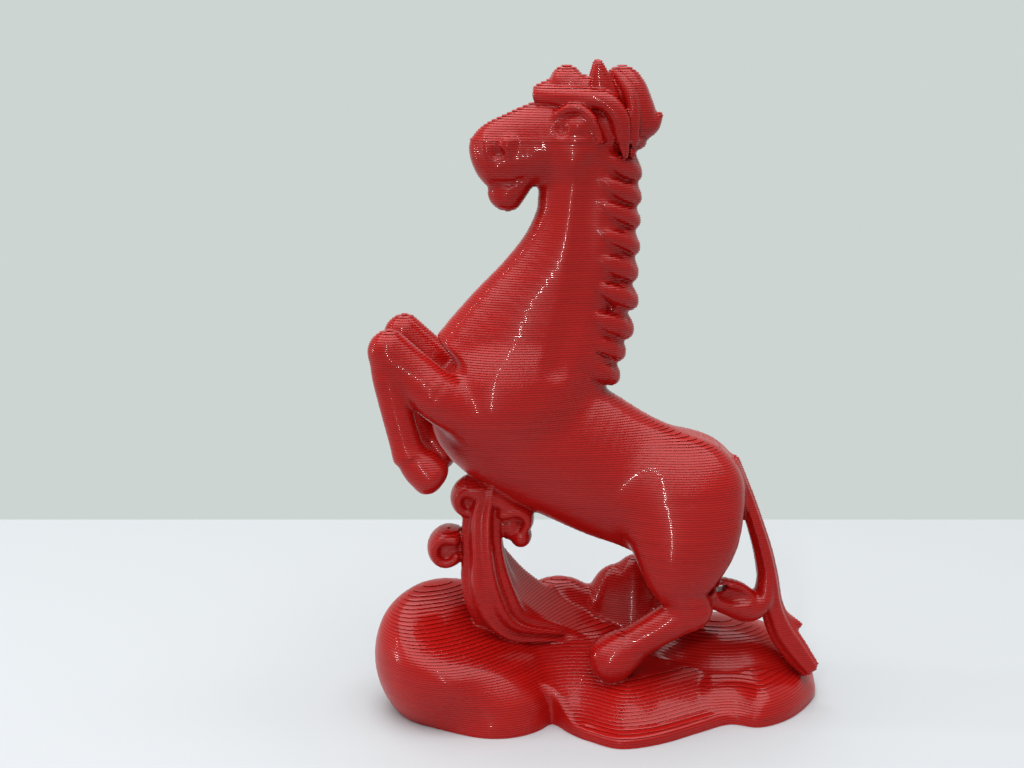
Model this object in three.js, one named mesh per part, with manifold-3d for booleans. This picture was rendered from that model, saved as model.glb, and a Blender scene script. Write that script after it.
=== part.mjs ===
// Rearing horse figurine on a rock base, with a breaking wave under the belly.
// Millimetres, +Z up. The horse faces -X, its left side faces -Y.
// The origin is the middle of the base's footprint, on the surface that the figurine stands on.

import * as THREE from 'three';
import { mergeVertices } from 'three/addons/utils/BufferGeometryUtils.js';
import Module from 'manifold-3d';

// Driving dimensions

const BASE_LENGTH = 62;
const BASE_WIDTH = 32;
const BASE_RIM = 1; // height of the rim at the front edge
const GROUND = 6; // height of the standing place under the hind hooves
const FRONT_SLOPE = 0.7; // rise of the front sheet for each millimetre in from its edge
const BACK_SLOPE = 1.8; // the same at the back edge
const SHEET_HEIGHT = 9.8; // of the middle sheet, at the foot of the wave
const SHEET_SLOPE = 0.57; // rise of the middle sheet for each millimetre towards the back
const LOBE_RIM = 4.3; // rounded edge of the lobe at the right end
const LOBE_SLOPE = 0.36; // rise of the lobe for each millimetre in from its edge
const SWELL_HEIGHT = 10.2; // swell behind the hind hooves

const BOULDER_LENGTH = 22.6;
const BOULDER_WIDTH = 23;
const BOULDER_HEIGHT = 18.8;
const BOULDER_SHOULDER = 13.5; // height of its top at the front
const BOULDER_TILT = 0.38; // rise of its top for each millimetre towards the back
const BOULDER_FALL = 0.43; // fall of its top for each millimetre to the right
const CRAG_LENGTH = 11; // tall rock behind the hind leg
const CRAG_HEIGHT = 18.4;
const LEDGE_LENGTH = 17; // low rock behind the wave
const LEDGE_HEIGHT = 15;

const WAVE_HEIGHT = 33; // top of the crest under the chest
const WAVE_WIDTH = 10.6; // across the stem at its widest
const SLIDE_FOOT = 7.5; // level at which the slide runs out
const SLIDE_FALL = 13.5; // height that the slide loses
const SLIDE_TILT = 0.42; // rise of the slide for each millimetre towards the back
const WAVE_STEM = 6; // thickness of the upright stem
const CURL_REACH = 3.3; // radius of the largest roll of foam
const CURL_THICKNESS = 2.3; // of the rolled foam strip
const CURL_WIDTH = 6.4;

const HORSE_HEIGHT = 81.6; // hind hooves to crown
const TRUNK_DEPTH = 18.8; // back to belly
const TRUNK_WIDTH = 13.8; // side to side
const SHOULDER_SIZE = 12.6;
const NECK_ROOT_DEPTH = 22;
const NECK_TOP_DEPTH = 11.4;
const NECK_WIDTH = 12.2; // at the root
const HEAD_DEPTH = 10.8;
const HEAD_WIDTH = 9;
const CHEEK_SIZE = 8.4;
const JAW_DEPTH = 4.2;
const EAR_LENGTH = 4.6;

const LEG_SPREAD = 12; // between the mid-planes of a pair of legs
const RIGHT_LEG_LAG = 1.2; // how far the right foreleg hangs behind the left
const FOREARM_DEPTH = 6.6;
const KNEE_DEPTH = 5.3;
const FORE_SHIN_DEPTH = 4.2;
const FORE_HOOF_DEPTH = 5.4;
const THIGH_DEPTH = 16.6;
const HOCK_DEPTH = 5.4;
const HIND_SHIN_DEPTH = 4.9;
const HIND_HOOF_DEPTH = 5.8;

const FORELOCK_DEPTH = 4;
const FORELOCK_WIDTH = 5.6;
const CREST_DEPTH = 5.6; // plume on the crown
const CREST_WIDTH = 5.6;
const MANE_DEPTH = 3; // of the strip that carries the locks
const MANE_WIDTH = 4.4; // side to side
const MANE_LOCK = 3.6; // height of one lock
const LOCK_THICKNESS = 2.8; // side locks beside the head
const TAIL_WIDTH = 4.6; // side to side
const TAIL_DEPTH = 2.8;

const GAP = 0.3; // between neighbouring pieces
const CRUMB = 0.02; // share of a piece's volume
const ROUND_SIDES = 14; // sides of a large rounded form
const THIN_SIDES = 10; // sides of a slim form

const wasm = await Module();
wasm.setup();

const redPlastic = () => new THREE.MeshStandardMaterial({ color: 0xc41c1a, roughness: 0.32, metalness: 0 });

// Solids

function toSolid(geometry) {
  const bare = geometry.clone();
  bare.deleteAttribute('normal');
  bare.deleteAttribute('uv');
  const merged = mergeVertices(bare, 1e-4);
  return new wasm.Manifold(new wasm.Mesh({
    numProp: 3,
    vertProperties: new Float32Array(merged.attributes.position.array),
    triVerts: new Uint32Array(merged.index.array),
  }));
}

// A cut along a grazing edge can leave crumbs beside the piece. Faces are grouped into bodies by their
// shared corners, and a body under CRUMB of the whole volume is left out.
function withoutCrumbs(corners, faces) {
  const parent = Array.from({ length: corners.length / 3 }, (_, i) => i);
  const root = (i) => {
    let top = i;
    while (parent[top] !== top) top = parent[top];
    parent[i] = top;
    return top;
  };
  for (let i = 0; i < faces.length; i += 3) {
    parent[root(faces[i + 1])] = root(faces[i]);
    parent[root(faces[i + 2])] = root(faces[i]);
  }
  const volumes = new Map();
  const [a, b, c] = [new THREE.Vector3(), new THREE.Vector3(), new THREE.Vector3()];
  for (let i = 0; i < faces.length; i += 3) {
    [a, b, c].forEach((corner, k) => corner.fromArray(corners, 3 * faces[i + k]));
    const body = root(faces[i]);
    volumes.set(body, (volumes.get(body) ?? 0) + a.dot(b.cross(c)) / 6);
  }
  const whole = [...volumes.values()].reduce((sum, volume) => sum + volume, 0);
  const kept = [];
  for (let i = 0; i < faces.length; i += 3) {
    if (volumes.get(root(faces[i])) > CRUMB * whole) kept.push(faces[i], faces[i + 1], faces[i + 2]);
  }
  return kept;
}

function toMesh(name, solid) {
  const found = solid.getMesh();
  const whole = new THREE.BufferGeometry();
  whole.setAttribute('position', new THREE.BufferAttribute(new Float32Array(found.vertProperties), 3));
  whole.setIndex(withoutCrumbs(found.vertProperties, found.triVerts));
  const geometry = mergeVertices(whole.toNonIndexed(), 1e-4);
  geometry.computeVertexNormals();
  const mesh = new THREE.Mesh(geometry, redPlastic());
  mesh.name = name;
  return mesh;
}

// A closed skin over rings of equal point counts, with a pole at each end.
function skin(rings, startPole, endPole) {
  const sides = rings[0].length;
  const points = [startPole, ...rings.flat(), endPole];
  const last = points.length - 1;
  const faces = [];
  for (let side = 0; side < sides; side += 1) {
    const next = (side + 1) % sides;
    faces.push(0, 1 + next, 1 + side);
    for (let ring = 0; ring + 1 < rings.length; ring += 1) {
      const here = 1 + ring * sides;
      const above = here + sides;
      faces.push(here + side, here + next, above + next, here + side, above + next, above + side);
    }
    const top = 1 + (rings.length - 1) * sides;
    faces.push(last, top + side, top + next);
  }
  const geometry = new THREE.BufferGeometry();
  const flat = points.flatMap((point) => [point.x, point.y, point.z]);
  geometry.setAttribute('position', new THREE.Float32BufferAttribute(flat, 3));
  geometry.setIndex(faces);
  return geometry;
}

// An elliptical section carried along a smooth path.
// A station is [x, y, z, depth, width]: the middle of the section, its size in the plane of the path
// and its size across. Each end is a dome, whose length `ends` gives as a share of the section's depth there.
function carried(stations, { ends, sides = ROUND_SIDES, steps = 3, grow = 0, flutes = null }) {
  const path = new THREE.CatmullRomCurve3(
    stations.map(([x, y, z]) => new THREE.Vector3(x, y, z)), false, 'catmullrom', 0.5);
  const section = new THREE.CatmullRomCurve3(
    stations.map((station) => new THREE.Vector3(station[3], station[4], 0)), false, 'catmullrom', 0.5);
  const across = new THREE.Vector3(0, 1, 0);
  const count = (stations.length - 1) * steps;

  const ringAt = (t, shrink, shift) => {
    const along = path.getTangent(t);
    const side = across.clone().addScaledVector(along, -across.dot(along)).normalize();
    const out = new THREE.Vector3().crossVectors(side, along);
    const middle = path.getPoint(t).addScaledVector(along, shift);
    const size = section.getPoint(t);
    return Array.from({ length: sides }, (_, i) => {
      const angle = (2 * Math.PI * i) / sides;
      const wave = flutes ? flutes(angle, t) : 0;
      const depth = (size.x / 2 + grow + wave) * shrink;
      const width = (size.y / 2 + grow + wave) * shrink;
      return middle.clone().addScaledVector(out, depth * Math.cos(angle))
        .addScaledVector(side, width * Math.sin(angle));
    });
  };
  const pole = (t, shift) => path.getPoint(t).addScaledVector(path.getTangent(t), shift);

  const domeSteps = [0.86, 0.5];
  const rings = [];
  const [startDome, endDome] = ends.map((share, end) => share * section.getPoint(end).x + grow);
  domeSteps.forEach((share) => rings.push(ringAt(0, Math.sqrt(1 - share * share), -startDome * share)));
  for (let i = 0; i <= count; i += 1) rings.push(ringAt(i / count, 1, 0));
  domeSteps.toReversed().forEach((share) => {
    rings.push(ringAt(1, Math.sqrt(1 - share * share), endDome * share));
  });
  return toSolid(skin(rings, pole(0, -startDome), pole(1, endDome)));
}

// An ellipsoid by its middle and its three full sizes.
function pebble([x, y, z], [length, width, height], { sides = ROUND_SIDES, grow = 0 } = {}) {
  const ball = new THREE.SphereGeometry(1, sides, Math.round(sides / 2));
  ball.rotateX(Math.PI / 2);
  ball.scale(length / 2 + grow, width / 2 + grow, height / 2 + grow);
  ball.translate(x, y, z);
  return toSolid(ball);
}

const joined = (solids) => solids.reduce((sum, solid) => sum.add(solid));
const cutBy = (solid, cutters) => cutters.reduce((rest, cutter) => rest.subtract(cutter), solid);

// Places on the horse are in hundredths of its height, from the ground under its hooves.
const spot = (x, y, z) => [x / 100 * HORSE_HEIGHT, y, GROUND + z / 100 * HORSE_HEIGHT];
const onHorse = (stations) => stations.map(([x, y, z, ...sizes]) => [...spot(x, y, z), ...sizes]);
const mirrored = (stations) => stations.map(([x, y, ...rest]) => [x, -y, ...rest]);

// Base

const HALF_LENGTH = BASE_LENGTH / 2;
const HALF_WIDTH = BASE_WIDTH / 2;

const onPlan = (points) => points.map(([x, y]) => [x * HALF_LENGTH, y * HALF_WIDTH]);

// A smooth closed outline through corners, in a number of equal stretches.
function closedOutline(corners, count) {
  const curve = new THREE.CatmullRomCurve3(
    corners.map(([x, y]) => new THREE.Vector3(x, y, 0)), true, 'catmullrom', 0.5);
  return curve.getSpacedPoints(count).slice(0, count).map((point) => [point.x, point.y]);
}

// Least distance from a line through corners.
function fromLine(x, y, corners) {
  const place = new THREE.Vector3(x, y, 0);
  const nearest = new THREE.Vector3();
  return Math.min(...corners.slice(1).map((corner, i) => {
    const stretch = new THREE.Line3(
      new THREE.Vector3(...corners[i], 0), new THREE.Vector3(...corner, 0));
    return stretch.closestPointToPoint(place, true, nearest).distanceTo(place);
  }));
}

// Distance in from a closed outline, and nothing outside it.
function inFrom(x, y, outline) {
  let inside = false;
  outline.forEach(([ax, ay], i) => {
    const [bx, by] = outline[(i + 1) % outline.length];
    if ((ay > y) !== (by > y) && x < (bx - ax) * (y - ay) / (by - ay) + ax) inside = !inside;
  });
  return inside ? fromLine(x, y, [...outline, outline[0]]) : 0;
}

// A solid between a level and a surface over an outline, which is seen whole from `middle`.
function terrain(outline, [middleX, middleY], low, height, { grow = 0, shares }) {
  const edge = outline.map(([x, y]) => {
    const away = new THREE.Vector2(x - middleX, y - middleY);
    return away.setLength(away.length() + grow);
  });
  const ringAt = (share, level) => edge.map((away) => {
    const x = middleX + share * away.x;
    const y = middleY + share * away.y;
    return new THREE.Vector3(x, y, level ?? height(x, y) + grow);
  });
  const rings = [ringAt(1, low - grow), ringAt(1), ...shares.map((share) => ringAt(share))];
  const top = height(middleX, middleY) + grow;
  return toSolid(skin(
    rings, new THREE.Vector3(middleX, middleY, low - grow), new THREE.Vector3(middleX, middleY, top)));
}

// Outlines as shares of half the length and half the width. The front edge runs from the notch beside the
// boulder to the right end, and the fold is the upright left side of the middle sheet. The plate under the
// boulder reaches in under the middle sheet.
const FRONT_EDGE = onPlan([
  [-0.11, -0.75], [-0.06, -0.84], [0.06, -1], [0.24, -0.9], [0.42, -0.67], [0.56, -0.51], [0.68, -0.57],
  [0.83, -0.39], [0.95, -0.05], [0.995, 0.24],
]);
const BACK_EDGE = onPlan([
  [0.965, 0.53], [0.77, 0.81], [0.39, 0.97], [0, 0.99], [-0.39, 0.91], [-0.71, 0.69],
]);
const FOLD = onPlan([[-0.4, -0.16], [-0.37, -0.3], [-0.3, -0.44], [-0.21, -0.51], [-0.15, -0.65]]);
const UNDER_BOULDER = closedOutline(onPlan([
  [-0.88, 0.44], [-0.91, 0.06], [-0.86, -0.26], [-0.7, -0.57], [-0.48, -0.69], [-0.31, -0.66],
  [-0.21, -0.51], [0, -0.4], [0, 0.5], [-0.39, 0.83], [-0.68, 0.66],
]), 28);
const LOBE_OUTLINE = closedOutline(onPlan([
  [0.29, -0.26], [0.43, -0.5], [0.58, -0.49], [0.66, -0.59], [0.76, -0.54], [0.88, -0.31], [0.97, -0.02],
  [0.995, 0.24], [0.965, 0.53], [0.77, 0.81], [0.39, 0.97], [0.1, 0.81], [0.08, 0.25],
  [0.19, -0.03],
]), 30);

// A dome by its middle and its reach, both as shares of half the length and half the width.
const swell = (x, y, [middleX, middleY], [reachX, reachY]) => {
  const awayX = (x / HALF_LENGTH - middleX) / reachX;
  const awayY = (y / HALF_WIDTH - middleY) / reachY;
  return Math.sqrt(Math.max(0, 1 - awayX ** 2 - awayY ** 2));
};

function baseHeight(x, y) {
  const front = BASE_RIM + FRONT_SLOPE * fromLine(x, y, FRONT_EDGE);
  const rightOfSheet = Math.max(0, x - 0.03 * HALF_LENGTH);
  const middle = SHEET_HEIGHT + SHEET_SLOPE * (y - 0.47 * (x + 0.04 * HALF_LENGTH) - rightOfSheet);
  const rise = BASE_RIM + BACK_SLOPE * fromLine(x, y, BACK_EDGE);
  const sheet = Math.min(front, rise, Math.max(GROUND, Math.min(middle, SHEET_HEIGHT)));
  const lobeIn = inFrom(x, y, LOBE_OUTLINE);
  const roll = Math.min(1, lobeIn / (0.5 * LOBE_RIM));
  const rolled = LOBE_RIM * Math.sqrt(1 - (1 - roll) ** 2);
  const lobe = rolled + LOBE_SLOPE * Math.max(0, lobeIn - 0.4 * LOBE_RIM);
  const back = SWELL_HEIGHT * swell(x, y, [0.55, 0.38], [0.45, 0.62]);
  return Math.max(sheet, lobe, back);
}

// The sheets and the lobe, on a plate of the rim's height that runs on under the boulder.
const baseSolid = () => joined([
  terrain(
    closedOutline([...FOLD, ...FRONT_EDGE, ...BACK_EDGE], 56), [0.16 * HALF_LENGTH, 0.1 * HALF_WIDTH],
    0, baseHeight, { shares: [0.97, 0.91, 0.82, 0.7, 0.56, 0.4, 0.2] }),
  terrain(UNDER_BOULDER, [-0.45 * HALF_LENGTH, 0.05 * HALF_WIDTH], 0, () => BASE_RIM, { shares: [0.5] }),
]);

// Rocks, each cut flat just above the plate of the base that it stands on

function onPlate(solid, grow) {
  const block = new THREE.BoxGeometry(2 * BASE_LENGTH, 2 * BASE_LENGTH, 2 * BASE_LENGTH);
  block.translate(0, 0, BASE_LENGTH + BASE_RIM + GAP - grow);
  return solid.intersect(toSolid(block));
}

// What lies under a plane through a place. The plane rises by `tilt` to the back and falls by `fall` to
// the right.
function under(solid, [x, y, z], tilt, fall, grow) {
  const up = new THREE.Vector3(fall, -tilt, 1).normalize();
  return solid.trimByPlane(up.clone().negate().toArray(), -up.dot(new THREE.Vector3(x, y, z)) - grow);
}

const BOULDER_MIDDLE_Z = 7.5; // its widest level
const boulder = (grow = 0) => {
  const lump = joined([
    pebble(
      [-HALF_LENGTH + BOULDER_LENGTH / 2, -0.05 * HALF_WIDTH, BOULDER_MIDDLE_Z],
      [BOULDER_LENGTH, BOULDER_WIDTH, 2 * (BOULDER_HEIGHT - BOULDER_MIDDLE_Z)], { sides: 22, grow }),
    pebble(
      [-0.46 * HALF_LENGTH, -0.21 * HALF_WIDTH, 0],
      [0.74 * BOULDER_LENGTH, 0.81 * BOULDER_WIDTH, 1.17 * BOULDER_HEIGHT], { sides: 20, grow }),
  ]);
  const shoulder = [-0.69 * HALF_LENGTH, -0.31 * HALF_WIDTH, BOULDER_SHOULDER];
  const topped = under(lump, shoulder, BOULDER_TILT, 0, grow);
  return onPlate(under(topped, shoulder, BOULDER_TILT, BOULDER_FALL, grow), grow);
};

const ROCK_ROOT = 4; // level at which the back rocks are widest
const backRocks = (grow = 0) => onPlate(joined([
  pebble(
    [0.17 * HALF_LENGTH, 0.54 * HALF_WIDTH, ROCK_ROOT],
    [CRAG_LENGTH, 1.04 * CRAG_LENGTH, 2 * (CRAG_HEIGHT - ROCK_ROOT)], { grow }),
  pebble(
    [0.08 * HALF_LENGTH, 0.55 * HALF_WIDTH, ROCK_ROOT],
    [0.91 * CRAG_LENGTH, 0.95 * CRAG_LENGTH, 1.78 * (CRAG_HEIGHT - ROCK_ROOT)], { grow }),
  pebble(
    [-0.17 * HALF_LENGTH, 0.57 * HALF_WIDTH, ROCK_ROOT],
    [LEDGE_LENGTH, 0.6 * LEDGE_LENGTH, 2 * (LEDGE_HEIGHT - ROCK_ROOT)], { grow }),
]), grow);

// Wave: a fluted stem under the chest that turns to the right, and a slide that runs out behind its foot

const waveFlutes = (angle, t) => (
  -0.06 * WAVE_STEM * Math.cos(8 * angle) * Math.sin(Math.PI * Math.min(1, 1.3 * t)));
// A station is [share of half the base's length, share of half its width, share of the wave's height,
// share of the stem's thickness, share of the wave's width].
const onBase = (stations) => stations.map(([x, y, z, depth, width]) => [
  x * HALF_LENGTH, y * HALF_WIDTH, z * WAVE_HEIGHT, depth * WAVE_STEM, width * WAVE_WIDTH]);
const waveStem = (grow) => carried(onBase([
  [-0.497, -0.04, 0.94, 0.6, 0.58],
  [-0.516, -0.04, 0.85, 0.8, 0.72],
  [-0.519, -0.04, 0.76, 0.83, 0.9],
  [-0.513, -0.04, 0.67, 0.88, 1],
  [-0.503, -0.05, 0.56, 1.07, 1],
  [-0.471, -0.05, 0.46, 1.13, 0.94],
  [-0.416, -0.04, 0.38, 0.93, 0.74],
  [-0.329, -0.01, 0.33, 0.67, 0.5],
  [-0.213, 0.04, 0.303, 0.43, 0.34],
]), { ends: [0.33, 0.6], sides: 24, steps: 1, grow, flutes: waveFlutes });

// The crest runs level from the upper curl to the right curl, close under the belly.
const waveCrest = (grow) => carried(onBase([
  [-0.56, -0.05, 0.94, 0.57, 0.57],
  [-0.47, -0.05, 0.915, 0.6, 0.57],
  [-0.387, -0.05, 0.867, 0.47, 0.53],
  [-0.316, -0.05, 0.836, 0.23, 0.47],
]), { ends: [0.53, 0.43], sides: THIN_SIDES, steps: 1, grow });

// The slide falls to the right as an exponential and rises towards the back.
const SLIDE_TOP_X = -0.416 * HALF_LENGTH;
function slideHeight(x, y) {
  const run = (Math.max(x, -0.458 * HALF_LENGTH) - SLIDE_TOP_X) / (0.27 * HALF_LENGTH);
  return SLIDE_FOOT + SLIDE_FALL * Math.exp(-run) + SLIDE_TILT * (y - 0.31 * HALF_WIDTH);
}
const slideOutline = closedOutline(onPlan([
  [-0.52, 0.19], [-0.5, -0.16], [-0.41, -0.16], [-0.3, -0.09], [-0.21, -0.03], [-0.08, 0.02], [0.08, 0.06],
  [0.19, 0.25], [0.13, 0.51], [-0.12, 0.54], [-0.25, 0.41], [-0.42, 0.33],
]), 28);
const waveSlide = (grow) => terrain(
  slideOutline, [-0.2 * HALF_LENGTH, 0.2 * HALF_WIDTH], 0.6 * GROUND, slideHeight,
  { grow, shares: [0.84, 0.62, 0.38, 0.18] });
const waveBody = (grow = 0) => joined([waveStem(grow), waveCrest(grow), waveSlide(grow)]);

// A strip of foam rolled inwards: it leaves the crest at `from` degrees and turns `sweep` degrees round
// its middle, while its reach and its thickness fall.
function curlStations([x, y, z], reachShare, from, sweep) {
  const turns = 9;
  const outerRadius = reachShare * CURL_REACH;
  return Array.from({ length: turns + 1 }, (_, i) => {
    const share = i / turns;
    const angle = THREE.MathUtils.degToRad(from + sweep * share);
    const reach = (outerRadius - CURL_THICKNESS / 2) * (1 - 0.42 * share);
    return [
      x + reach * Math.cos(angle), y, z + reach * Math.sin(angle),
      CURL_THICKNESS * (1 - 0.25 * share), CURL_WIDTH * (1 - 0.2 * share)];
  });
}

// The roll, with a thinner disc that fills it.
const curl = (middle, reachShare, from, sweep) => (grow = 0) => joined([
  carried(curlStations(middle, reachShare, from, sweep), {
    ends: [0.35, 0.3], sides: THIN_SIDES, steps: 1, grow }),
  pebble(
    middle, [1.5 * reachShare * CURL_REACH, 0.62 * CURL_WIDTH, 1.5 * reachShare * CURL_REACH],
    { sides: THIN_SIDES, grow }),
]);
const CURL_Y = -0.056 * HALF_WIDTH;
const upperCurl = curl([-0.571 * HALF_LENGTH, CURL_Y, 0.894 * WAVE_HEIGHT], 0.94, 60, 270);
const lowerCurl = curl([-0.668 * HALF_LENGTH, CURL_Y, 0.682 * WAVE_HEIGHT], 1, 60, 285);

// The right curl hangs from the end of the crest as a flap, with a ball of foam under it.
const rightCurl = (grow = 0) => joined([
  carried([
    [-0.432, 0.842, 0.96, 0.88], [-0.355, 0.855, 0.87, 0.84], [-0.319, 0.812, 0.78, 0.78],
    [-0.335, 0.77, 0.7, 0.72],
  ].map(([x, z, depth, width]) => [
    x * HALF_LENGTH, CURL_Y, z * WAVE_HEIGHT, depth * CURL_THICKNESS, width * CURL_WIDTH]),
  { ends: [0.36, 0.37], sides: THIN_SIDES, steps: 2, grow }),
  pebble(
    [-0.348 * HALF_LENGTH, CURL_Y, 0.739 * WAVE_HEIGHT],
    [1.3 * CURL_THICKNESS, 0.78 * CURL_WIDTH, 1.35 * CURL_THICKNESS], { sides: THIN_SIDES, grow }),
  pebble(
    [-0.394 * HALF_LENGTH, CURL_Y, 0.788 * WAVE_HEIGHT],
    [1.57 * CURL_THICKNESS, 0.59 * CURL_WIDTH, 1.91 * CURL_THICKNESS], { sides: THIN_SIDES, grow }),
]);

// Trunk, neck and head

const trunk = (grow = 0) => joined([
  carried(onHorse([
    [-21.1, 0, 45.3, 0.74 * TRUNK_DEPTH, 0.84 * TRUNK_WIDTH],
    [-16.8, 0, 42.8, 0.94 * TRUNK_DEPTH, TRUNK_WIDTH],
    [-10.9, 0, 39.8, 1.04 * TRUNK_DEPTH, TRUNK_WIDTH],
    [-4.3, 0, 36.4, 1.02 * TRUNK_DEPTH, 0.95 * TRUNK_WIDTH],
    [1.8, 0, 33.1, 0.98 * TRUNK_DEPTH, 0.92 * TRUNK_WIDTH],
    [7.4, 0, 30.8, 0.95 * TRUNK_DEPTH, 0.94 * TRUNK_WIDTH],
    [13.5, 0, 28.1, 0.98 * TRUNK_DEPTH, 0.98 * TRUNK_WIDTH],
  ]), { ends: [0.37, 0.47], sides: 20, steps: 2, grow }),
  ...[-1, 1].map((side) => pebble(
    spot(-17.8, side * 0.3 * LEG_SPREAD, 45.8),
    [SHOULDER_SIZE, 0.74 * SHOULDER_SIZE, SHOULDER_SIZE], { grow })),
]);

const neckStations = onHorse([
  [-15.2, 0, 48.4, 1.04 * NECK_ROOT_DEPTH, 1.06 * NECK_WIDTH],
  [-11.4, 0, 54.2, 0.97 * NECK_ROOT_DEPTH, NECK_WIDTH],
  [-8.5, 0, 61.5, 0.75 * NECK_ROOT_DEPTH, 0.84 * NECK_WIDTH],
  [-5.4, 0, 68.1, 0.63 * NECK_ROOT_DEPTH, 0.76 * NECK_WIDTH],
  [-3.7, 0, 74.5, 1.06 * NECK_TOP_DEPTH, 0.7 * NECK_WIDTH],
  [-3.6, 0, 79, NECK_TOP_DEPTH, 0.68 * NECK_WIDTH],
  [-3.2, 0, 85.2, 0.92 * NECK_TOP_DEPTH, 0.68 * NECK_WIDTH],
]);
const neck = (grow = 0) => carried(neckStations, { ends: [0.09, 0.19], sides: 16, steps: 2, grow });

const head = (grow = 0) => joined([
  carried(onHorse([
    [0, 0, 89.5, 0.88 * HEAD_DEPTH, 0.86 * HEAD_WIDTH],
    [-4.3, 0, 88.6, HEAD_DEPTH, HEAD_WIDTH],
    [-9.2, 0, 87.5, 0.97 * HEAD_DEPTH, 0.92 * HEAD_WIDTH],
    [-13.5, 0, 86, 0.92 * HEAD_DEPTH, 0.8 * HEAD_WIDTH],
    [-16.5, 0, 84.9, 0.86 * HEAD_DEPTH, 0.74 * HEAD_WIDTH],
    [-18.6, 0, 83.9, 0.72 * HEAD_DEPTH, 0.62 * HEAD_WIDTH],
  ]), { ends: [0.27, 0.25], sides: 16, steps: 2, grow }),
  ...[-1, 1].map((side) => pebble(
    spot(-4.4, side * 0.26 * HEAD_WIDTH, 86.2),
    [CHEEK_SIZE, 0.62 * CHEEK_SIZE, CHEEK_SIZE], { sides: 12, grow })),
]);

const lowerJaw = (grow = 0) => carried(onHorse([
  [-11, 0, 82.6, 0.6 * JAW_DEPTH, 0.5 * HEAD_WIDTH],
  [-14.3, 0, 80.4, 0.8 * JAW_DEPTH, 0.5 * HEAD_WIDTH],
  [-15.9, 0, 78.2, 1.06 * JAW_DEPTH, 0.48 * HEAD_WIDTH],
]), { ends: [0.32, 0.42], sides: THIN_SIDES, steps: 2, grow });

// An ear station is [share of the ear's length, share of half the head it stands out, depth, width].
const [earX, , earZ] = spot(0.2, 0, 93.9);
const earStations = [[0, 0.56, 0.61, 0.43], [0.5, 0.6, 0.48, 0.33], [1, 0.64, 0.15, 0.13]].map(
  ([share, out, depth, width]) => [
    earX - 0.17 * share * EAR_LENGTH, -0.5 * out * HEAD_WIDTH, earZ + share * EAR_LENGTH,
    depth * EAR_LENGTH, width * EAR_LENGTH]);
const ear = (stations) => (grow = 0) => carried(stations, { ends: [0.18, 0.57], sides: 8, steps: 2, grow });
const leftEar = ear(earStations);
const rightEar = ear(mirrored(earStations));

// Hair

const forelock = (grow = 0) => carried(onHorse([
  [-11, 0, 94.7, 0.32 * FORELOCK_DEPTH, 0.25 * FORELOCK_WIDTH],
  [-8.9, 0, 95.3, 0.68 * FORELOCK_DEPTH, 0.64 * FORELOCK_WIDTH],
  [-6.1, 0, 96.4, FORELOCK_DEPTH, 0.96 * FORELOCK_WIDTH],
  [-3.2, 0, 96.1, 0.95 * FORELOCK_DEPTH, FORELOCK_WIDTH],
  [-0.5, 0, 95.3, 0.8 * FORELOCK_DEPTH, 0.82 * FORELOCK_WIDTH],
]), { ends: [0.38, 0.25], sides: THIN_SIDES, steps: 2, grow });

const crest = (grow = 0) => carried(onHorse([
  [1.2, 0, 97.4, 0.64 * CREST_DEPTH, 0.54 * CREST_WIDTH],
  [2.8, 0, 95.6, CREST_DEPTH, 0.9 * CREST_WIDTH],
  [4.4, 0, 92.6, 0.96 * CREST_DEPTH, CREST_WIDTH],
  [6.2, 0, 90.2, 0.71 * CREST_DEPTH, 0.79 * CREST_WIDTH],
  [8.7, 0, 91.4, 0.16 * CREST_DEPTH, 0.29 * CREST_WIDTH],
]), { ends: [0.28, 0.44], sides: THIN_SIDES, steps: 2, grow });

const sideLockStations = onHorse([
  [-7.8, -0.2 * HEAD_WIDTH, 93.9, 0.8 * LOCK_THICKNESS, 0.7 * LOCK_THICKNESS],
  [-3.9, -0.37 * HEAD_WIDTH, 94.7, LOCK_THICKNESS, 0.9 * LOCK_THICKNESS],
  [0.2, -0.44 * HEAD_WIDTH, 93.6, LOCK_THICKNESS, LOCK_THICKNESS],
  [2.5, -0.44 * HEAD_WIDTH, 90.7, LOCK_THICKNESS, LOCK_THICKNESS],
  [2.9, -0.42 * HEAD_WIDTH, 87, 0.9 * LOCK_THICKNESS, 0.9 * LOCK_THICKNESS],
  [3.1, -0.4 * HEAD_WIDTH, 83.3, 0.5 * LOCK_THICKNESS, 0.6 * LOCK_THICKNESS],
]);
const sideLock = (stations) => (grow = 0) => carried(
  stations, { ends: [0.27, 0.43], sides: 8, steps: 2, grow });
const leftSideLock = sideLock(sideLockStations);
const rightSideLock = sideLock(mirrored(sideLockStations));

// The line down the back of the neck, where the mane grows: how far back it lies at a level.
const neckPath = new THREE.CatmullRomCurve3(
  neckStations.map(([x, y, z]) => new THREE.Vector3(x, y, z)), false, 'catmullrom', 0.5);
const neckBack = neckStations.map(([x, , z, depth], i) => {
  const along = neckPath.getTangent(i / (neckStations.length - 1));
  return { x: x + along.z * depth / 2, z: z - along.x * depth / 2 };
});
function neckBackAt(z) {
  if (z > neckBack.at(-1).z) return neckBack.at(-1).x;
  const above = Math.max(1, neckBack.findIndex((point) => point.z >= z));
  const [low, high] = [neckBack[above - 1], neckBack[above]];
  return THREE.MathUtils.mapLinear(z, low.z, high.z, low.x, high.x);
}

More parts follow.
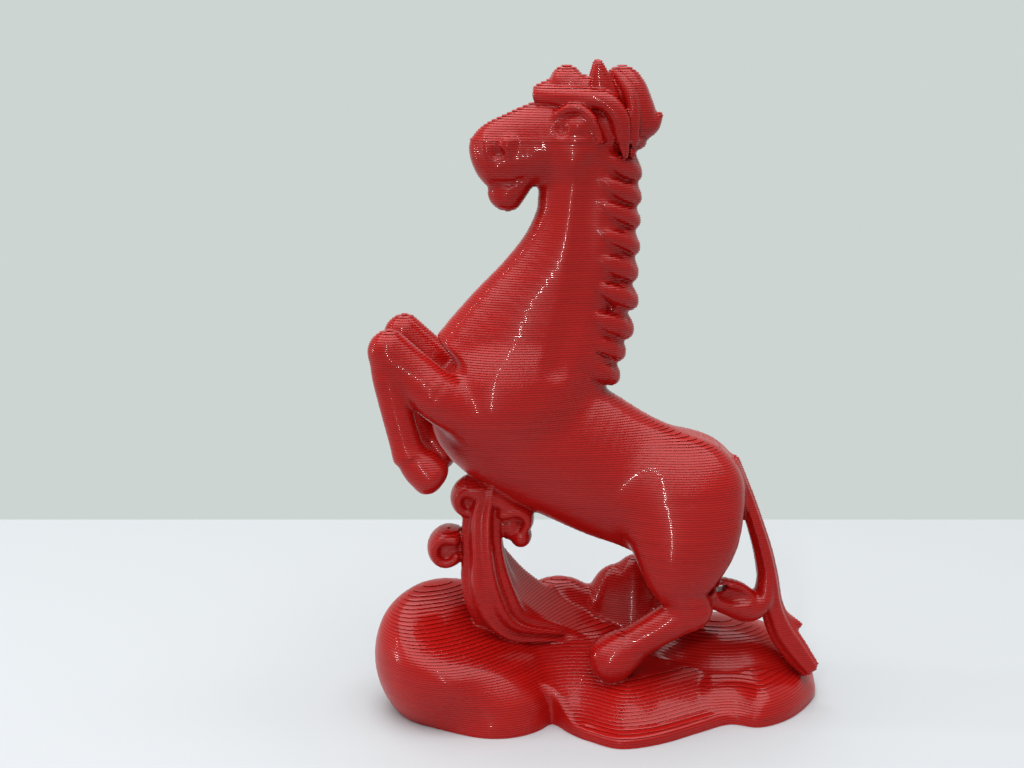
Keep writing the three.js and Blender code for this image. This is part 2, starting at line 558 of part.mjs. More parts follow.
// Each lock: how far its tip stands out behind the neck, in lock heights, and its own height on the horse.
const MANE_LOCKS = [
  [0.71, 87.4], [0.56, 82.2], [0.53, 78.4], [0.47, 74.8], [0.54, 70.5],
  [0.61, 66.2], [0.85, 61.6], [0.9, 56.9], [0.68, 53.2], [0.54, 49.3],
];
const maneSpot = (out, height) => {
  const [, , z] = spot(0, 0, height);
  return [neckBackAt(z) + out, 0, z];
};
const mane = (grow = 0) => joined([
  carried([89.5, 80.9, 72.3, 63.7, 56.4, 48.5].map((height) => [
    ...maneSpot(-0.2 * MANE_DEPTH, height), MANE_DEPTH, MANE_WIDTH,
  ]), { ends: [0.28, 0.38], sides: 8, steps: 2, grow }),
  ...MANE_LOCKS.map(([tip, height]) => pebble(
    maneSpot((tip - 0.6) * MANE_LOCK, height),
    [1.2 * MANE_LOCK, 0.9 * MANE_WIDTH, 0.86 * MANE_LOCK], { sides: 8, grow })),
]);

// Legs. Each is written for the left side and mirrored for the right.

const LEFT = -LEG_SPREAD / 2;
const behind = (stations) => stations.map(([x, ...rest]) => [x + RIGHT_LEG_LAG, ...rest]);

const forearmStations = onHorse([
  [-20.1, 0.72 * LEFT, 43.6, 1.2 * FOREARM_DEPTH, FOREARM_DEPTH],
  [-26.1, LEFT, 47.3, 1.03 * FOREARM_DEPTH, 0.9 * FOREARM_DEPTH],
  [-30.5, LEFT, 51.3, 0.5 * (FOREARM_DEPTH + KNEE_DEPTH), 0.9 * KNEE_DEPTH],
  [-34.3, LEFT, 55.3, KNEE_DEPTH, 0.86 * KNEE_DEPTH],
]);
const foreShinStations = onHorse([
  [-34.6, LEFT, 54.4, 0.86 * KNEE_DEPTH, 0.76 * KNEE_DEPTH],
  [-34.2, LEFT, 50.7, 1.08 * FORE_SHIN_DEPTH, 0.96 * FORE_SHIN_DEPTH],
  [-33.1, LEFT, 45.1, FORE_SHIN_DEPTH, 0.9 * FORE_SHIN_DEPTH],
  [-31.9, LEFT, 40.2, FORE_SHIN_DEPTH, 0.9 * FORE_SHIN_DEPTH],
  [-31.1, LEFT, 37.9, 1.1 * FORE_SHIN_DEPTH, FORE_SHIN_DEPTH],
]);
const foreHoofStations = onHorse([
  [-30.9, LEFT, 37.4, 0.76 * FORE_HOOF_DEPTH, 0.76 * FORE_HOOF_DEPTH],
  [-29, LEFT, 35.8, FORE_HOOF_DEPTH, 0.9 * FORE_HOOF_DEPTH],
  [-27.5, LEFT, 34.3, FORE_HOOF_DEPTH, 0.96 * FORE_HOOF_DEPTH],
]);
const thighStations = onHorse([
  [12.7, 0.62 * LEFT, 30.1, THIGH_DEPTH, 0.56 * THIGH_DEPTH],
  [13.4, 0.8 * LEFT, 25, 0.9 * THIGH_DEPTH, 0.52 * THIGH_DEPTH],
  [13, 0.94 * LEFT, 20.3, 0.69 * THIGH_DEPTH, 0.44 * THIGH_DEPTH],
  [12.6, LEFT, 17.5, 0.52 * THIGH_DEPTH, 0.38 * THIGH_DEPTH],
  [13.2, LEFT, 14.8, 1.14 * HOCK_DEPTH, 1.04 * HOCK_DEPTH],
  [14.5, LEFT, 12.5, 1.04 * HOCK_DEPTH, 0.94 * HOCK_DEPTH],
  [15.1, LEFT, 11.3, HOCK_DEPTH, 0.9 * HOCK_DEPTH],
]);
const hindShinStations = onHorse([
  [14.7, LEFT, 11.3, 0.86 * HOCK_DEPTH, 0.8 * HOCK_DEPTH],
  [11.8, LEFT, 10, 1.02 * HIND_SHIN_DEPTH, 0.94 * HIND_SHIN_DEPTH],
  [7.8, LEFT, 7.6, 0.98 * HIND_SHIN_DEPTH, 0.92 * HIND_SHIN_DEPTH],
  [4.7, LEFT, 5.5, HIND_SHIN_DEPTH, 0.96 * HIND_SHIN_DEPTH],
]);
const hindHoofStations = onHorse([
  [4.4, LEFT, 5.4, 0.86 * HIND_HOOF_DEPTH, 0.86 * HIND_HOOF_DEPTH],
  [1.8, LEFT, 3.3, HIND_HOOF_DEPTH, 0.94 * HIND_HOOF_DEPTH],
  [0.7, LEFT, 2.5, 0.9 * HIND_HOOF_DEPTH, 0.9 * HIND_HOOF_DEPTH],
]);
// The right hind leg stands steeper, its hoof further back on the crag.
const rightHindShinStations = mirrored(onHorse([
  [14.7, LEFT, 11.3, 0.86 * HOCK_DEPTH, 0.8 * HOCK_DEPTH],
  [13.5, LEFT, 8.8, 1.02 * HIND_SHIN_DEPTH, 0.94 * HIND_SHIN_DEPTH],
  [11.5, LEFT, 6.1, HIND_SHIN_DEPTH, 0.94 * HIND_SHIN_DEPTH],
]));
const rightHindHoofStations = mirrored(onHorse([
  [11.3, LEFT, 5.9, 0.86 * HIND_HOOF_DEPTH, 0.86 * HIND_HOOF_DEPTH],
  [9.6, LEFT, 3.4, HIND_HOOF_DEPTH, 0.94 * HIND_HOOF_DEPTH],
  [8.9, LEFT, 2.6, 0.9 * HIND_HOOF_DEPTH, 0.9 * HIND_HOOF_DEPTH],
]));

const limb = (stations, ends, sides = THIN_SIDES, steps = 2) => (grow = 0) => carried(
  stations, { ends, sides, steps, grow });
const leftForearm = limb(forearmStations, [0.25, 0.45], 12);
const rightForearm = limb(behind(mirrored(forearmStations)), [0.25, 0.45], 12);
const leftForeShin = limb(foreShinStations, [0.55, 0.3]);
const rightForeShin = limb(behind(mirrored(foreShinStations)), [0.55, 0.3]);
const leftForeHoof = limb(foreHoofStations, [0.34, 0.41]);
const rightForeHoof = limb(behind(mirrored(foreHoofStations)), [0.34, 0.41]);
const leftThigh = limb(thighStations, [0.46, 0.37], 16, 1);
const rightThigh = limb(mirrored(thighStations), [0.46, 0.37], 16, 1);
const leftHindShin = limb(hindShinStations, [0.43, 0.29]);
const rightHindShin = limb(rightHindShinStations, [0.43, 0.29]);
const leftHindHoof = limb(hindHoofStations, [0.24, 0.38]);
const rightHindHoof = limb(rightHindHoofStations, [0.24, 0.38]);

// Tail: a strip that falls from the croup, with a short side tip and a hook that curls to the left hock

const tail = (grow = 0) => joined([
  carried(onHorse([
    [21.4, 0, 34.6, 0.9 * TAIL_DEPTH, 0.76 * TAIL_WIDTH],
    [24.1, 0, 28.7, 0.76 * TAIL_DEPTH, 0.76 * TAIL_WIDTH],
    [25.9, 0, 23.8, 0.82 * TAIL_DEPTH, 0.84 * TAIL_WIDTH],
    [27.2, 0, 19.4, 0.9 * TAIL_DEPTH, 0.92 * TAIL_WIDTH],
    [28.2, 0, 14.7, TAIL_DEPTH, TAIL_WIDTH],
    [28.9, 0, 10.3, 1.06 * TAIL_DEPTH, TAIL_WIDTH],
    [30.4, 0, 6, 1.1 * TAIL_DEPTH, 0.9 * TAIL_WIDTH],
    [33.1, 0, 2, TAIL_DEPTH, 0.7 * TAIL_WIDTH],
    [36.3, 0, -1.5, 0.6 * TAIL_DEPTH, 0.5 * TAIL_WIDTH],
  ]), { ends: [0.4, 0.36], sides: THIN_SIDES, steps: 1, grow }),
  carried(onHorse([
    [29.2, -0.1 * LEFT, 8.6, 0.9 * TAIL_DEPTH, 0.7 * TAIL_WIDTH],
    [31.4, -0.13 * LEFT, 6.2, 0.8 * TAIL_DEPTH, 0.5 * TAIL_WIDTH],
    [33.7, -0.17 * LEFT, 5.5, 0.24 * TAIL_DEPTH, 0.24 * TAIL_WIDTH],
  ]), { ends: [0.2, 0.45], sides: 8, steps: 2, grow }),
]);

const tailHook = (grow = 0) => carried(onHorse([
  [27.7, 0.1 * LEFT, 15.4, 0.8 * TAIL_DEPTH, 0.8 * TAIL_WIDTH],
  [27.2, 0.17 * LEFT, 11.8, 1.1 * TAIL_DEPTH, TAIL_WIDTH],
  [24.8, 0.27 * LEFT, 10.5, 1.6 * TAIL_DEPTH, TAIL_WIDTH],
  [21.8, 0.47 * LEFT, 12.4, 1.8 * TAIL_DEPTH, 0.9 * TAIL_WIDTH],
  [18.4, 0.67 * LEFT, 14, 1.6 * TAIL_DEPTH, 0.8 * TAIL_WIDTH],
]), { ends: [0.36, 0.22], sides: THIN_SIDES, steps: 2, grow });

// Assembly: what comes first keeps its form, and each later piece is cut clear of what it meets

const pieces = [
  ['trunk', trunk, []],
  ['neck', neck, [trunk]],
  ['head', head, [neck]],
  ['lower_jaw', lowerJaw, [head, neck]],
  ['left_ear', leftEar, [head]],
  ['right_ear', rightEar, [head]],
  ['left_side_lock', leftSideLock, [neck, head, leftEar]],
  ['right_side_lock', rightSideLock, [neck, head, rightEar]],
  ['forelock', forelock, [head, leftEar, rightEar, leftSideLock, rightSideLock]],
  ['crest', crest, [neck, head, leftEar, rightEar, leftSideLock, rightSideLock, forelock]],
  ['mane', mane, [trunk, neck, head, leftSideLock, rightSideLock, crest]],
  ['left_forearm', leftForearm, [trunk, neck]],
  ['right_forearm', rightForearm, [trunk, neck]],
  ['left_fore_shin', leftForeShin, [leftForearm]],
  ['right_fore_shin', rightForeShin, [rightForearm]],
  ['left_fore_hoof', leftForeHoof, [leftForeShin]],
  ['right_fore_hoof', rightForeHoof, [rightForeShin]],
  ['left_thigh', leftThigh, [trunk]],
  ['right_thigh', rightThigh, [trunk]],
  ['left_hind_shin', leftHindShin, [leftThigh]],
  ['right_hind_shin', rightHindShin, [rightThigh]],
  ['left_hind_hoof', leftHindHoof, [leftHindShin]],
  ['right_hind_hoof', rightHindHoof, [rightHindShin]],
  ['tail', tail, [trunk, leftThigh, rightThigh]],
  ['tail_hook', tailHook, [tail, leftThigh, leftHindShin]],
  ['boulder', boulder, []],
  ['wave', waveBody, [
    trunk, boulder, leftHindShin, leftHindHoof, rightHindShin, rightHindHoof]],
  ['upper_curl', upperCurl, [waveBody, trunk]],
  ['lower_curl', lowerCurl, [waveBody, upperCurl, boulder]],
  ['right_curl', rightCurl, [waveBody, trunk]],
  ['back_rocks', backRocks, [
    waveBody, boulder, rightThigh, rightHindShin, rightHindHoof, leftHindShin]],
  ['base', baseSolid, [
    boulder, waveBody, backRocks, tail, tailHook,
    leftHindShin, leftHindHoof, rightHindShin, rightHindHoof]],
];

const figurine = new THREE.Group();
pieces.forEach(([name, form, neighbours]) => {
  figurine.add(toMesh(name, cutBy(form(), neighbours.map((neighbour) => neighbour(GAP)))));
});

export default figurine;
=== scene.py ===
"""A rearing horse figurine in glossy red plastic, on a base of rocks and water.

The real thing is one print, layer on layer, so the shape is worked out the way a slicer does it: every form
is a function of place that is negative inside and gives the distance to its surface in millimetres. The
forms flow into each other, the sum is read at the middle of each printed layer, and the layers are skinned
at the end. Sizes are millimetres, and the finished meshes are in metres.
"""

import math

import bpy
import numpy as np
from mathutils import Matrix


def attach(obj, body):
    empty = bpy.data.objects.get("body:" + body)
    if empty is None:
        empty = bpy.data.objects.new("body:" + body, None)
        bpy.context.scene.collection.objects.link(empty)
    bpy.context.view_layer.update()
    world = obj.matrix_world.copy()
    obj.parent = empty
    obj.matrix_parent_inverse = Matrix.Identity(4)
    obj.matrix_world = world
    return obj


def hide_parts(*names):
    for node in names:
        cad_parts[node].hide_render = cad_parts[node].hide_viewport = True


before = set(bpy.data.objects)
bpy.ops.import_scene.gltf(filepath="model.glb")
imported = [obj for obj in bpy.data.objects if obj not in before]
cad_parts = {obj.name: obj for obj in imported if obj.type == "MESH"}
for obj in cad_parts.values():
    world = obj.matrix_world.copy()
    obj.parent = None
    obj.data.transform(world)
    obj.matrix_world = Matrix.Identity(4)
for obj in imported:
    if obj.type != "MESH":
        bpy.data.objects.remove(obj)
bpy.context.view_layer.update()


# Camera: a phone held a little above the figurine, at the photograph's distance and tilt. It looks
# straight along +Y, past the horse's left side.
MM = 0.001
CAMERA_PITCH = 12.3  # degrees down
camera = bpy.data.objects.new("camera", bpy.data.cameras.new("camera"))
bpy.context.collection.objects.link(camera)
camera.location = (-12 * MM, -215 * MM, 92 * MM)
camera.rotation_euler = (math.radians(90 - CAMERA_PITCH), 0, 0)
camera.data.sensor_width = 36
camera.data.lens = 58
camera.data.clip_start = 0.01
bpy.context.scene.camera = camera


# The print's material. Saturated red plastic with a soft sheen under a thin clear gloss. It lets a little
# light in, so the shaded sides stay red. Colour and gloss drift over the print. The grooves between the
# layers are less shiny than the crowns; their colour is darkened as painted shade, and the crowns' colour
# is lightened a little as painted light.
LAYER = 0.3


def calculated(tree, operation, first, second=0.0):
    """A sum on shader values, where each term is another node's outlet or a plain number."""
    node = tree.nodes.new("ShaderNodeMath")
    node.operation = operation
    for socket, term in zip(node.inputs, (first, second)):
        if isinstance(term, bpy.types.NodeSocket):
            tree.links.new(term, socket)
        else:
            socket.default_value = term
    return node.outputs[0]


def red_plastic():
    material = bpy.data.materials.new("red_plastic")
    material.use_nodes = True
    tree = material.node_tree
    nodes, links = tree.nodes, tree.links
    shader = nodes["Principled BSDF"]
    place = nodes.new("ShaderNodeTexCoord").outputs["Object"]

    def noise(scale, stretch, detail):
        mapping = nodes.new("ShaderNodeMapping")
        mapping.inputs["Scale"].default_value = stretch
        links.new(place, mapping.inputs["Vector"])
        texture = nodes.new("ShaderNodeTexNoise")
        texture.inputs["Scale"].default_value = scale
        texture.inputs["Detail"].default_value = detail
        links.new(mapping.outputs["Vector"], texture.inputs["Vector"])
        return texture.outputs["Fac"]

    def spread(value, start, end, low, high):
        """The value, drawn from the range start to end onto the range low to high."""
        node = nodes.new("ShaderNodeMapRange")
        for name, limit in (("From Min", start), ("From Max", end), ("To Min", low), ("To Max", high)):
            node.inputs[name].default_value = limit
        links.new(value, node.inputs["Value"])
        return node.outputs["Result"]

    # tone: from line to line and over the whole print
    lines = spread(noise(scale=420, stretch=(0.12, 0.12, 8), detail=1), 0.3, 0.7, 0, 0.5)
    drift = noise(scale=70, stretch=(1, 1, 1), detail=3)
    tone = nodes.new("ShaderNodeMix")
    tone.data_type = "RGBA"
    tone.inputs["A"].default_value = (0.39, 0.005, 0.004, 1)
    tone.inputs["B"].default_value = (0.50, 0.008, 0.006, 1)
    links.new(calculated(tree, "ADD", lines, spread(drift, 0.3, 0.7, 0, 0.5)), tone.inputs["Factor"])

    # grooves: a cosine of the height, 1 between two layers and -1 on the crown of each
    height = nodes.new("ShaderNodeSeparateXYZ")
    links.new(place, height.inputs["Vector"])
    turns = calculated(tree, "MULTIPLY", height.outputs["Z"], 2 * math.pi / (LAYER * MM))
    groove = calculated(tree, "COSINE", turns)
    # painted shade: the tone is scaled down to 0.8 in the grooves between layers, and up to 1.04 on the
    # crowns as a little painted light
    shaded = nodes.new("ShaderNodeVectorMath")
    shaded.operation = "SCALE"
    links.new(tone.outputs["Result"], shaded.inputs[0])
    links.new(spread(groove, -1, 1, 1.04, 0.8), shaded.inputs["Scale"])
    links.new(shaded.outputs[0], shader.inputs["Base Color"])
    links.new(spread(groove, -1, 1, 0.22, 0.06), shader.inputs["Specular IOR Level"])
    links.new(spread(drift, 0.3, 0.7, 0.26, 0.32), shader.inputs["Roughness"])
    shader.inputs["Coat Weight"].default_value = 0.3
    shader.inputs["Coat Roughness"].default_value = 0.06
    shader.inputs["IOR"].default_value = 1.47
    shader.inputs["Subsurface Weight"].default_value = 0.06
    shader.inputs["Subsurface Radius"].default_value = (1.0, 0.12, 0.08)
    shader.inputs["Subsurface Scale"].default_value = 0.0012
    return material


plastic = red_plastic()


# Trunk: the barrel, rising to the withers, with both shoulders swelling from it. Solid plastic; it is
# printed in one with everything that grows from it.
GROUND = 6.0


def smooth_path(stations, steps):
    """A smooth curve through the stations: for a share t between stations b and c, with a before and d
    after, b + t/2 (c - a) + t^2/2 (2a - 5b + 4c - d) + t^3/2 (3b - 3c + d - a), in every column."""
    s = np.asarray(stations, float)
    s = np.vstack([2 * s[0] - s[1], s, 2 * s[-1] - s[-2]])
    t = np.linspace(0, 1, steps, endpoint=False)[:, None]
    a, b, c, d = s[:-3, None], s[1:-2, None], s[2:-1, None], s[3:, None]
    curve = (b + t / 2 * (c - a) + t**2 / 2 * (2 * a - 5 * b + 4 * c - d)
             + t**3 / 2 * (3 * b - 3 * c + d - a))
    return np.vstack([curve.reshape(-1, s.shape[1]), s[-2]])


def limb(stations, ends, steps=4, flutes=(0, 0.0)):
    """An elliptical section carried along a path. A station is x, y, z, depth in the path's plane, width.
    Across a bone with half sizes a and b, the distance is k(k - 1)/m, where k is the length of
    (v/a, u/b) and m the length of (v/a^2, u/b^2); past an end the length along the path counts too,
    over the length of the dome there. At a bend inside the limb the dome is half the depth, and shorter
    near the limb's ends, so that it never stands out past them. Flutes are a number of grooves round the
    limb and their depth: that depth times the cosine of as many turns of the angle is added."""
    path = smooth_path(stations, steps)
    reach = max(path[:, 3].max() / 2, path[:, 4].max() / 2, *ends)
    box = path[:, :3].min(0) - reach, path[:, :3].max(0) + reach
    run = np.concatenate([[0], np.cumsum(np.linalg.norm(np.diff(path[:, :3], axis=0), axis=1))])
    before, after = ends[0] + run, ends[1] + run[-1] - run
    last = len(path) - 2

    def distance(x, y, z):
        best = np.full(x.shape, 1e3, np.float32)
        for i in range(len(path) - 1):
            p, q = path[i], path[i + 1]
            bone = q[:3] - p[:3]
            length = math.sqrt(bone @ bone)
            along = bone / length
            side = np.array((0, 1, 0)) - along[1] * along
            side /= math.sqrt(side @ side)
            out = np.cross(side, along)
            dx, dy, dz = x - p[0], y - p[1], z - p[2]
            w = dx * along[0] + dy * along[1] + dz * along[2]
            u = dx * side[0] + dy * side[1] + dz * side[2]
            v = dx * out[0] + dy * out[1] + dz * out[2]
            t = np.clip(w / length, 0, 1)
            a = (p[3] + t * (q[3] - p[3])) / 2
            b = (p[4] + t * (q[4] - p[4])) / 2
            dome = np.where(w < 0, min(p[3] / 2, before[i]), min(q[3] / 2, after[i + 1]))
            dome = np.where(w < 0, ends[0] if i == 0 else dome, ends[1] if i == last else dome)
            past = w - t * length
            k2 = (v / a) ** 2 + (u / b) ** 2 + (past / dome) ** 2
            m2 = (v / a**2) ** 2 + (u / b**2) ** 2 + (past / dome**2) ** 2
            k = np.sqrt(k2)
            away = k * (k - 1) / np.sqrt(m2 + 1e-9)
            if flutes[0]:
                away = away + flutes[1] * np.cos(flutes[0] * np.arctan2(u / b, v / a))
            np.minimum(best, away, out=best)
        return best

    return {"box": box, "distance": distance}


def pebble(middle, sizes, turn=0.0):
    """An ellipsoid, turned about Y by `turn` degrees: distance k(k - 1)/m, where k is the length of the
    place over the half sizes and m the length of the place over their squares."""
    c, s = math.cos(math.radians(turn)), math.sin(math.radians(turn))
    half = np.asarray(sizes, float) / 2
    middle = np.asarray(middle, float)
    reach = half.max() if turn else half
    box = middle - reach, middle + reach

    def distance(x, y, z):
        dx, dy, dz = x - middle[0], y - middle[1], z - middle[2]
        dx, dz = c * dx - s * dz, s * dx + c * dz
        k = np.sqrt((dx / half[0]) ** 2 + (dy / half[1]) ** 2 + (dz / half[2]) ** 2)
        m = np.sqrt((dx / half[0] ** 2) ** 2 + (dy / half[1] ** 2) ** 2 + (dz / half[2] ** 2) ** 2)
        return (k * (k - 1) / (m + 1e-6)).astype(np.float32)

    return {"box": box, "distance": distance}


def soft_union(a, b, fillet):
    """The lower of two distances, less h^2 fillet/4, where h falls from 1 to 0 as they part by fillet."""
    h = np.maximum(fillet - np.abs(a - b), 0) / fillet
    return np.minimum(a, b) - h * h * (fillet / 4)


def merged(forms, fillet):
    """Several forms as one, each flowing into the others."""
    box = np.min([f["box"][0] for f in forms], 0) - fillet, np.max([f["box"][1] for f in forms], 0) + fillet

    def distance(x, y, z):
        total = forms[0]["distance"](x, y, z)
        for form in forms[1:]:
            total = soft_union(total, form["distance"](x, y, z), fillet)
        return total

    return {"box": box, "distance": distance}


def on_horse(stations):
    """The horse is measured from the ground under its hooves."""
    lifted = np.asarray(stations, float)
    lifted[:, 2] += GROUND
    return lifted


print_forms = {}
carvings = []


def piece(node, form, fillet):
    """The printed piece that stands for a CAD node. Its mesh is filled when the print is skinned."""
    made = bpy.data.objects.new(node + "_print", bpy.data.meshes.new(node + "_print"))
    bpy.context.collection.objects.link(made)
    made.data.materials.append(plastic)
    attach(made, "root")
    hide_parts(node)
    print_forms[node] = {"object": made, "form": form, "fillet": fillet}


def carve(form, soften=0.4):
    """A hollow worked into the surface: the form is taken away, and the hollow's edge is rounded."""
    carvings.append({"form": form, "soften": soften})


TRUNK_DEPTH = 18.8
TRUNK_WIDTH = 13.8
LEG_SPREAD = 12.0
trunk = merged([
    limb(on_horse([
        [-17.2, 0, 37.0, 0.74 * TRUNK_DEPTH, 0.84 * TRUNK_WIDTH],
        [-13.7, 0, 34.9, 0.94 * TRUNK_DEPTH, TRUNK_WIDTH],
        [-8.9, 0, 32.5, 1.04 * TRUNK_DEPTH, TRUNK_WIDTH],
        [-3.5, 0, 29.7, 1.02 * TRUNK_DEPTH, 0.95 * TRUNK_WIDTH],
        [1.5, 0, 27.0, 0.98 * TRUNK_DEPTH, 0.92 * TRUNK_WIDTH],
        [6.0, 0, 25.1, 0.95 * TRUNK_DEPTH, 0.94 * TRUNK_WIDTH],
        [11.0, 0, 22.9, 0.98 * TRUNK_DEPTH, 0.98 * TRUNK_WIDTH],
    ]), ends=(5.2, 8.6)),
    pebble((-14.5, -3.6, GROUND + 37.4), (12.6, 9.3, 12.6)),
    pebble((-14.5, 3.6, GROUND + 37.4), (12.6, 9.3, 12.6)),
    pebble((-11.5, -4.3, GROUND + 38.8), (16.0, 7.4, 13.0), turn=-8),
    pebble((-11.5, 4.3, GROUND + 38.8), (16.0, 7.4, 13.0), turn=-8),
], fillet=2.0)
piece("trunk", trunk, fillet=1.0)


# Neck: a deep wedge that narrows to the throat, growing out of the shoulders, with a shallow hollow down
# each side in front of the mane. Solid plastic, in one with the trunk and the head.
NECK_ROOT_DEPTH = 22.0
NECK_TOP_DEPTH = 11.4
NECK_WIDTH = 12.2
piece("neck", limb(on_horse([
    [-12.4, 0, 39.5, 1.04 * NECK_ROOT_DEPTH, 1.06 * NECK_WIDTH],
    [-9.3, 0, 44.2, 0.97 * NECK_ROOT_DEPTH, NECK_WIDTH],
    [-6.9, 0, 50.2, 0.75 * NECK_ROOT_DEPTH, 0.84 * NECK_WIDTH],
    [-4.4, 0, 55.6, 0.63 * NECK_ROOT_DEPTH, 0.76 * NECK_WIDTH],
    [-3.0, 0, 60.8, 1.06 * NECK_TOP_DEPTH, 0.7 * NECK_WIDTH],
    [-2.9, 0, 64.5, NECK_TOP_DEPTH, 0.68 * NECK_WIDTH],
    [-2.6, 0, 69.5, 0.92 * NECK_TOP_DEPTH, 0.68 * NECK_WIDTH],
]), ends=(2, 2)), fillet=1.6)
for side in (-1, 1):
    carve(limb(on_horse([
        [-1.6, side * 6.0, 68.0, 3.6, 4.0],
        [-2.2, side * 5.8, 62.0, 4.4, 4.0],
        [-2.4, side * 6.2, 55.0, 4.8, 4.0],
        [-3.8, side * 7.0, 49.0, 5.2, 4.0],
        [-5.6, side * 7.9, 43.0, 4.4, 4.0],
    ]), ends=(2, 2)), soften=1.2)


# Head and lower jaw: a blunt muzzle with open nostrils, a heavy cheek, a bulging eye under a brow ridge,
# and a chin that hangs below the closed mouth. Solid plastic, in one with the neck.
HEAD_DEPTH = 10.8
HEAD_WIDTH = 9.0
CHEEK_SIZE = 8.4
head = [limb(on_horse([
    [0.0, 0, 73.0, 0.88 * HEAD_DEPTH, 0.86 * HEAD_WIDTH],
    [-3.5, 0, 72.3, HEAD_DEPTH, HEAD_WIDTH],
    [-7.5, 0, 71.4, 0.97 * HEAD_DEPTH, 0.92 * HEAD_WIDTH],
    [-11.0, 0, 70.2, 0.92 * HEAD_DEPTH, 0.8 * HEAD_WIDTH],
    [-13.5, 0, 69.3, 0.86 * HEAD_DEPTH, 0.74 * HEAD_WIDTH],
    [-15.2, 0, 68.5, 0.72 * HEAD_DEPTH, 0.62 * HEAD_WIDTH],
]), ends=(2.6, 1.9))]
head.append(pebble((-14.1, 0, GROUND + 68.3), (4.8, 5.8, 4.4)))
for side in (-1, 1):
    head.append(pebble((-3.6, side * 2.3, GROUND + 70.3), (CHEEK_SIZE, 0.62 * CHEEK_SIZE, CHEEK_SIZE)))
    # eyeball, the brow that hoods it and the lower lid
    head.append(pebble((-3.5, side * 3.8, GROUND + 73.5), (3.4, 2.8, 2.9)))
    head.append(limb(on_horse([
        [-6.3, side * 3.4, 74.8, 0.9, 1.2],
        [-5.0, side * 4.0, 75.6, 1.3, 1.7],
        [-3.2, side * 4.3, 75.6, 1.3, 1.8],
        [-1.6, side * 4.6, 74.0, 1.2, 1.7],
        [-0.8, side * 4.5, 71.6, 0.8, 1.2],
    ]), ends=(0.4, 0.4)))
    head.append(limb(on_horse([
        [-5.0, side * 3.8, 72.1, 0.6, 0.9],
        [-3.6, side * 4.1, 71.6, 0.9, 1.3],
        [-2.0, side * 4.1, 72.4, 0.6, 0.9],
    ]), ends=(0.3, 0.3)))
    # rims of the nostril
    head.append(pebble((-15.2, side * 2.5, GROUND + 70.4), (1.6, 1.8, 3.0), turn=-12))
    head.append(pebble((-12.6, side * 3.2, GROUND + 70.9), (1.8, 1.6, 2.8), turn=24))
piece("head", merged(head, fillet=0.7), fillet=1.2)
JAW_DEPTH = 4.8
piece("lower_jaw", limb(on_horse([
    [-10.3, 0, 67.6, 0.8 * JAW_DEPTH, 0.5 * HEAD_WIDTH],
    [-12.0, 0, 65.8, 1.04 * JAW_DEPTH, 0.54 * HEAD_WIDTH],
    [-12.9, 0, 64.3, JAW_DEPTH, 0.5 * HEAD_WIDTH],
]), ends=(0.8, 2.0)), fillet=0.5)
for side in (-1, 1):
    # the nostril and the corner of the eye
    carve(pebble((-13.8, side * 3.9, GROUND + 70.0), (2.0, 2.2, 1.5), turn=14))
    carve(pebble((-5.8, side * 4.6, GROUND + 73.1), (1.5, 1.5, 2.0), turn=-20))
    # the jowl, an arc behind the cheek
    carve(limb(on_horse([
        [-0.9, side * 4.5, 74.0, 0.7, 1.0],
        [0.5, side * 4.6, 71.5, 0.7, 1.0],
        [-0.2, side * 4.7, 68.5, 0.7, 1.0],
        [-2.6, side * 4.6, 66.2, 0.6, 1.0],
    ]), ends=(0.4, 0.4)))
    # the closed mouth, a groove between lip and chin
    carve(limb(on_horse([
        [-16.4, side * 2.3, 66.0, 0.6, 1.0],
        [-14.2, side * 2.9, 65.9, 0.9, 1.8],
        [-12.0, side * 2.9, 66.0, 0.9, 1.8],
        [-10.6, side * 2.9, 66.6, 0.6, 1.4],
    ]), ends=(0.3, 0.3)))


# Ears: two small points that stand up through the hair and lean a little forward. Solid plastic, in one
# with the crown of the head.
EAR_LENGTH = 4.6
for node, side in (("left_ear", -1), ("right_ear", 1)):
    piece(node, limb(on_horse([
        [0.0, side * 0.28 * HEAD_WIDTH, 76.6, 3.6, 2.2],
        [-0.7, side * 0.3 * HEAD_WIDTH, 76.6 + 0.5 * EAR_LENGTH, 2.9, 1.8],
        [-1.0, side * 0.32 * HEAD_WIDTH, 76.6 + EAR_LENGTH, 1.2, 0.9],
    ]), ends=(0.5, 0.5)), fillet=0.5)


# Hair: a forelock that rolls over the brow, a plume on the crown, a lock on each side of the head, and a
# mane of short hooked locks down the back of the neck. Solid plastic, raised from the head and the neck.
piece("forelock", merged([
    limb(on_horse([
        [-8.9, 0, 77.4, 2.0, 2.4],
        [-7.2, 0, 77.8, 2.7, 4.2],
        [-5.0, 0, 78.2, 3.4, 5.4],
        [-2.6, 0, 78.0, 3.4, 5.6],
        [-0.4, 0, 77.6, 3.2, 4.6],
    ]), ends=(0.4, 0.8)),
    pebble((-5.0, 0, GROUND + 78.9), (4.4, 4.8, 4.2)),
    pebble((-5.6, -1.3, GROUND + 78.5), (2.6, 2.6, 3.6), turn=-20),
    pebble((-4.0, -1.5, GROUND + 78.4), (2.2, 2.4, 3.4), turn=15),
], fillet=0.35), fillet=0.4)
piece("crest", merged([
    limb(on_horse([
        [1.0, 0, 79.5, 3.6, 3.0],
        [2.3, 0, 78.0, 5.6, 5.0],
        [3.6, 0, 75.6, 5.4, 5.6],
        [5.1, 0, 73.6, 4.0, 4.4],
        [7.1, 0, 74.6, 0.9, 1.6],
    ]), ends=(1.0, 0.4)),
    limb(on_horse([
        [1.0, -1.4, 80.2, 1.2, 1.2],
        [2.7, -2.5, 78.0, 1.7, 1.6],
        [3.4, -3.0, 75.4, 1.7, 1.6],
        [3.5, -3.0, 72.4, 1.5, 1.4],
        [3.4, -2.8, 69.6, 0.8, 0.8],
    ]), ends=(0.4, 0.4)),
], fillet=0.4), fillet=0.4)
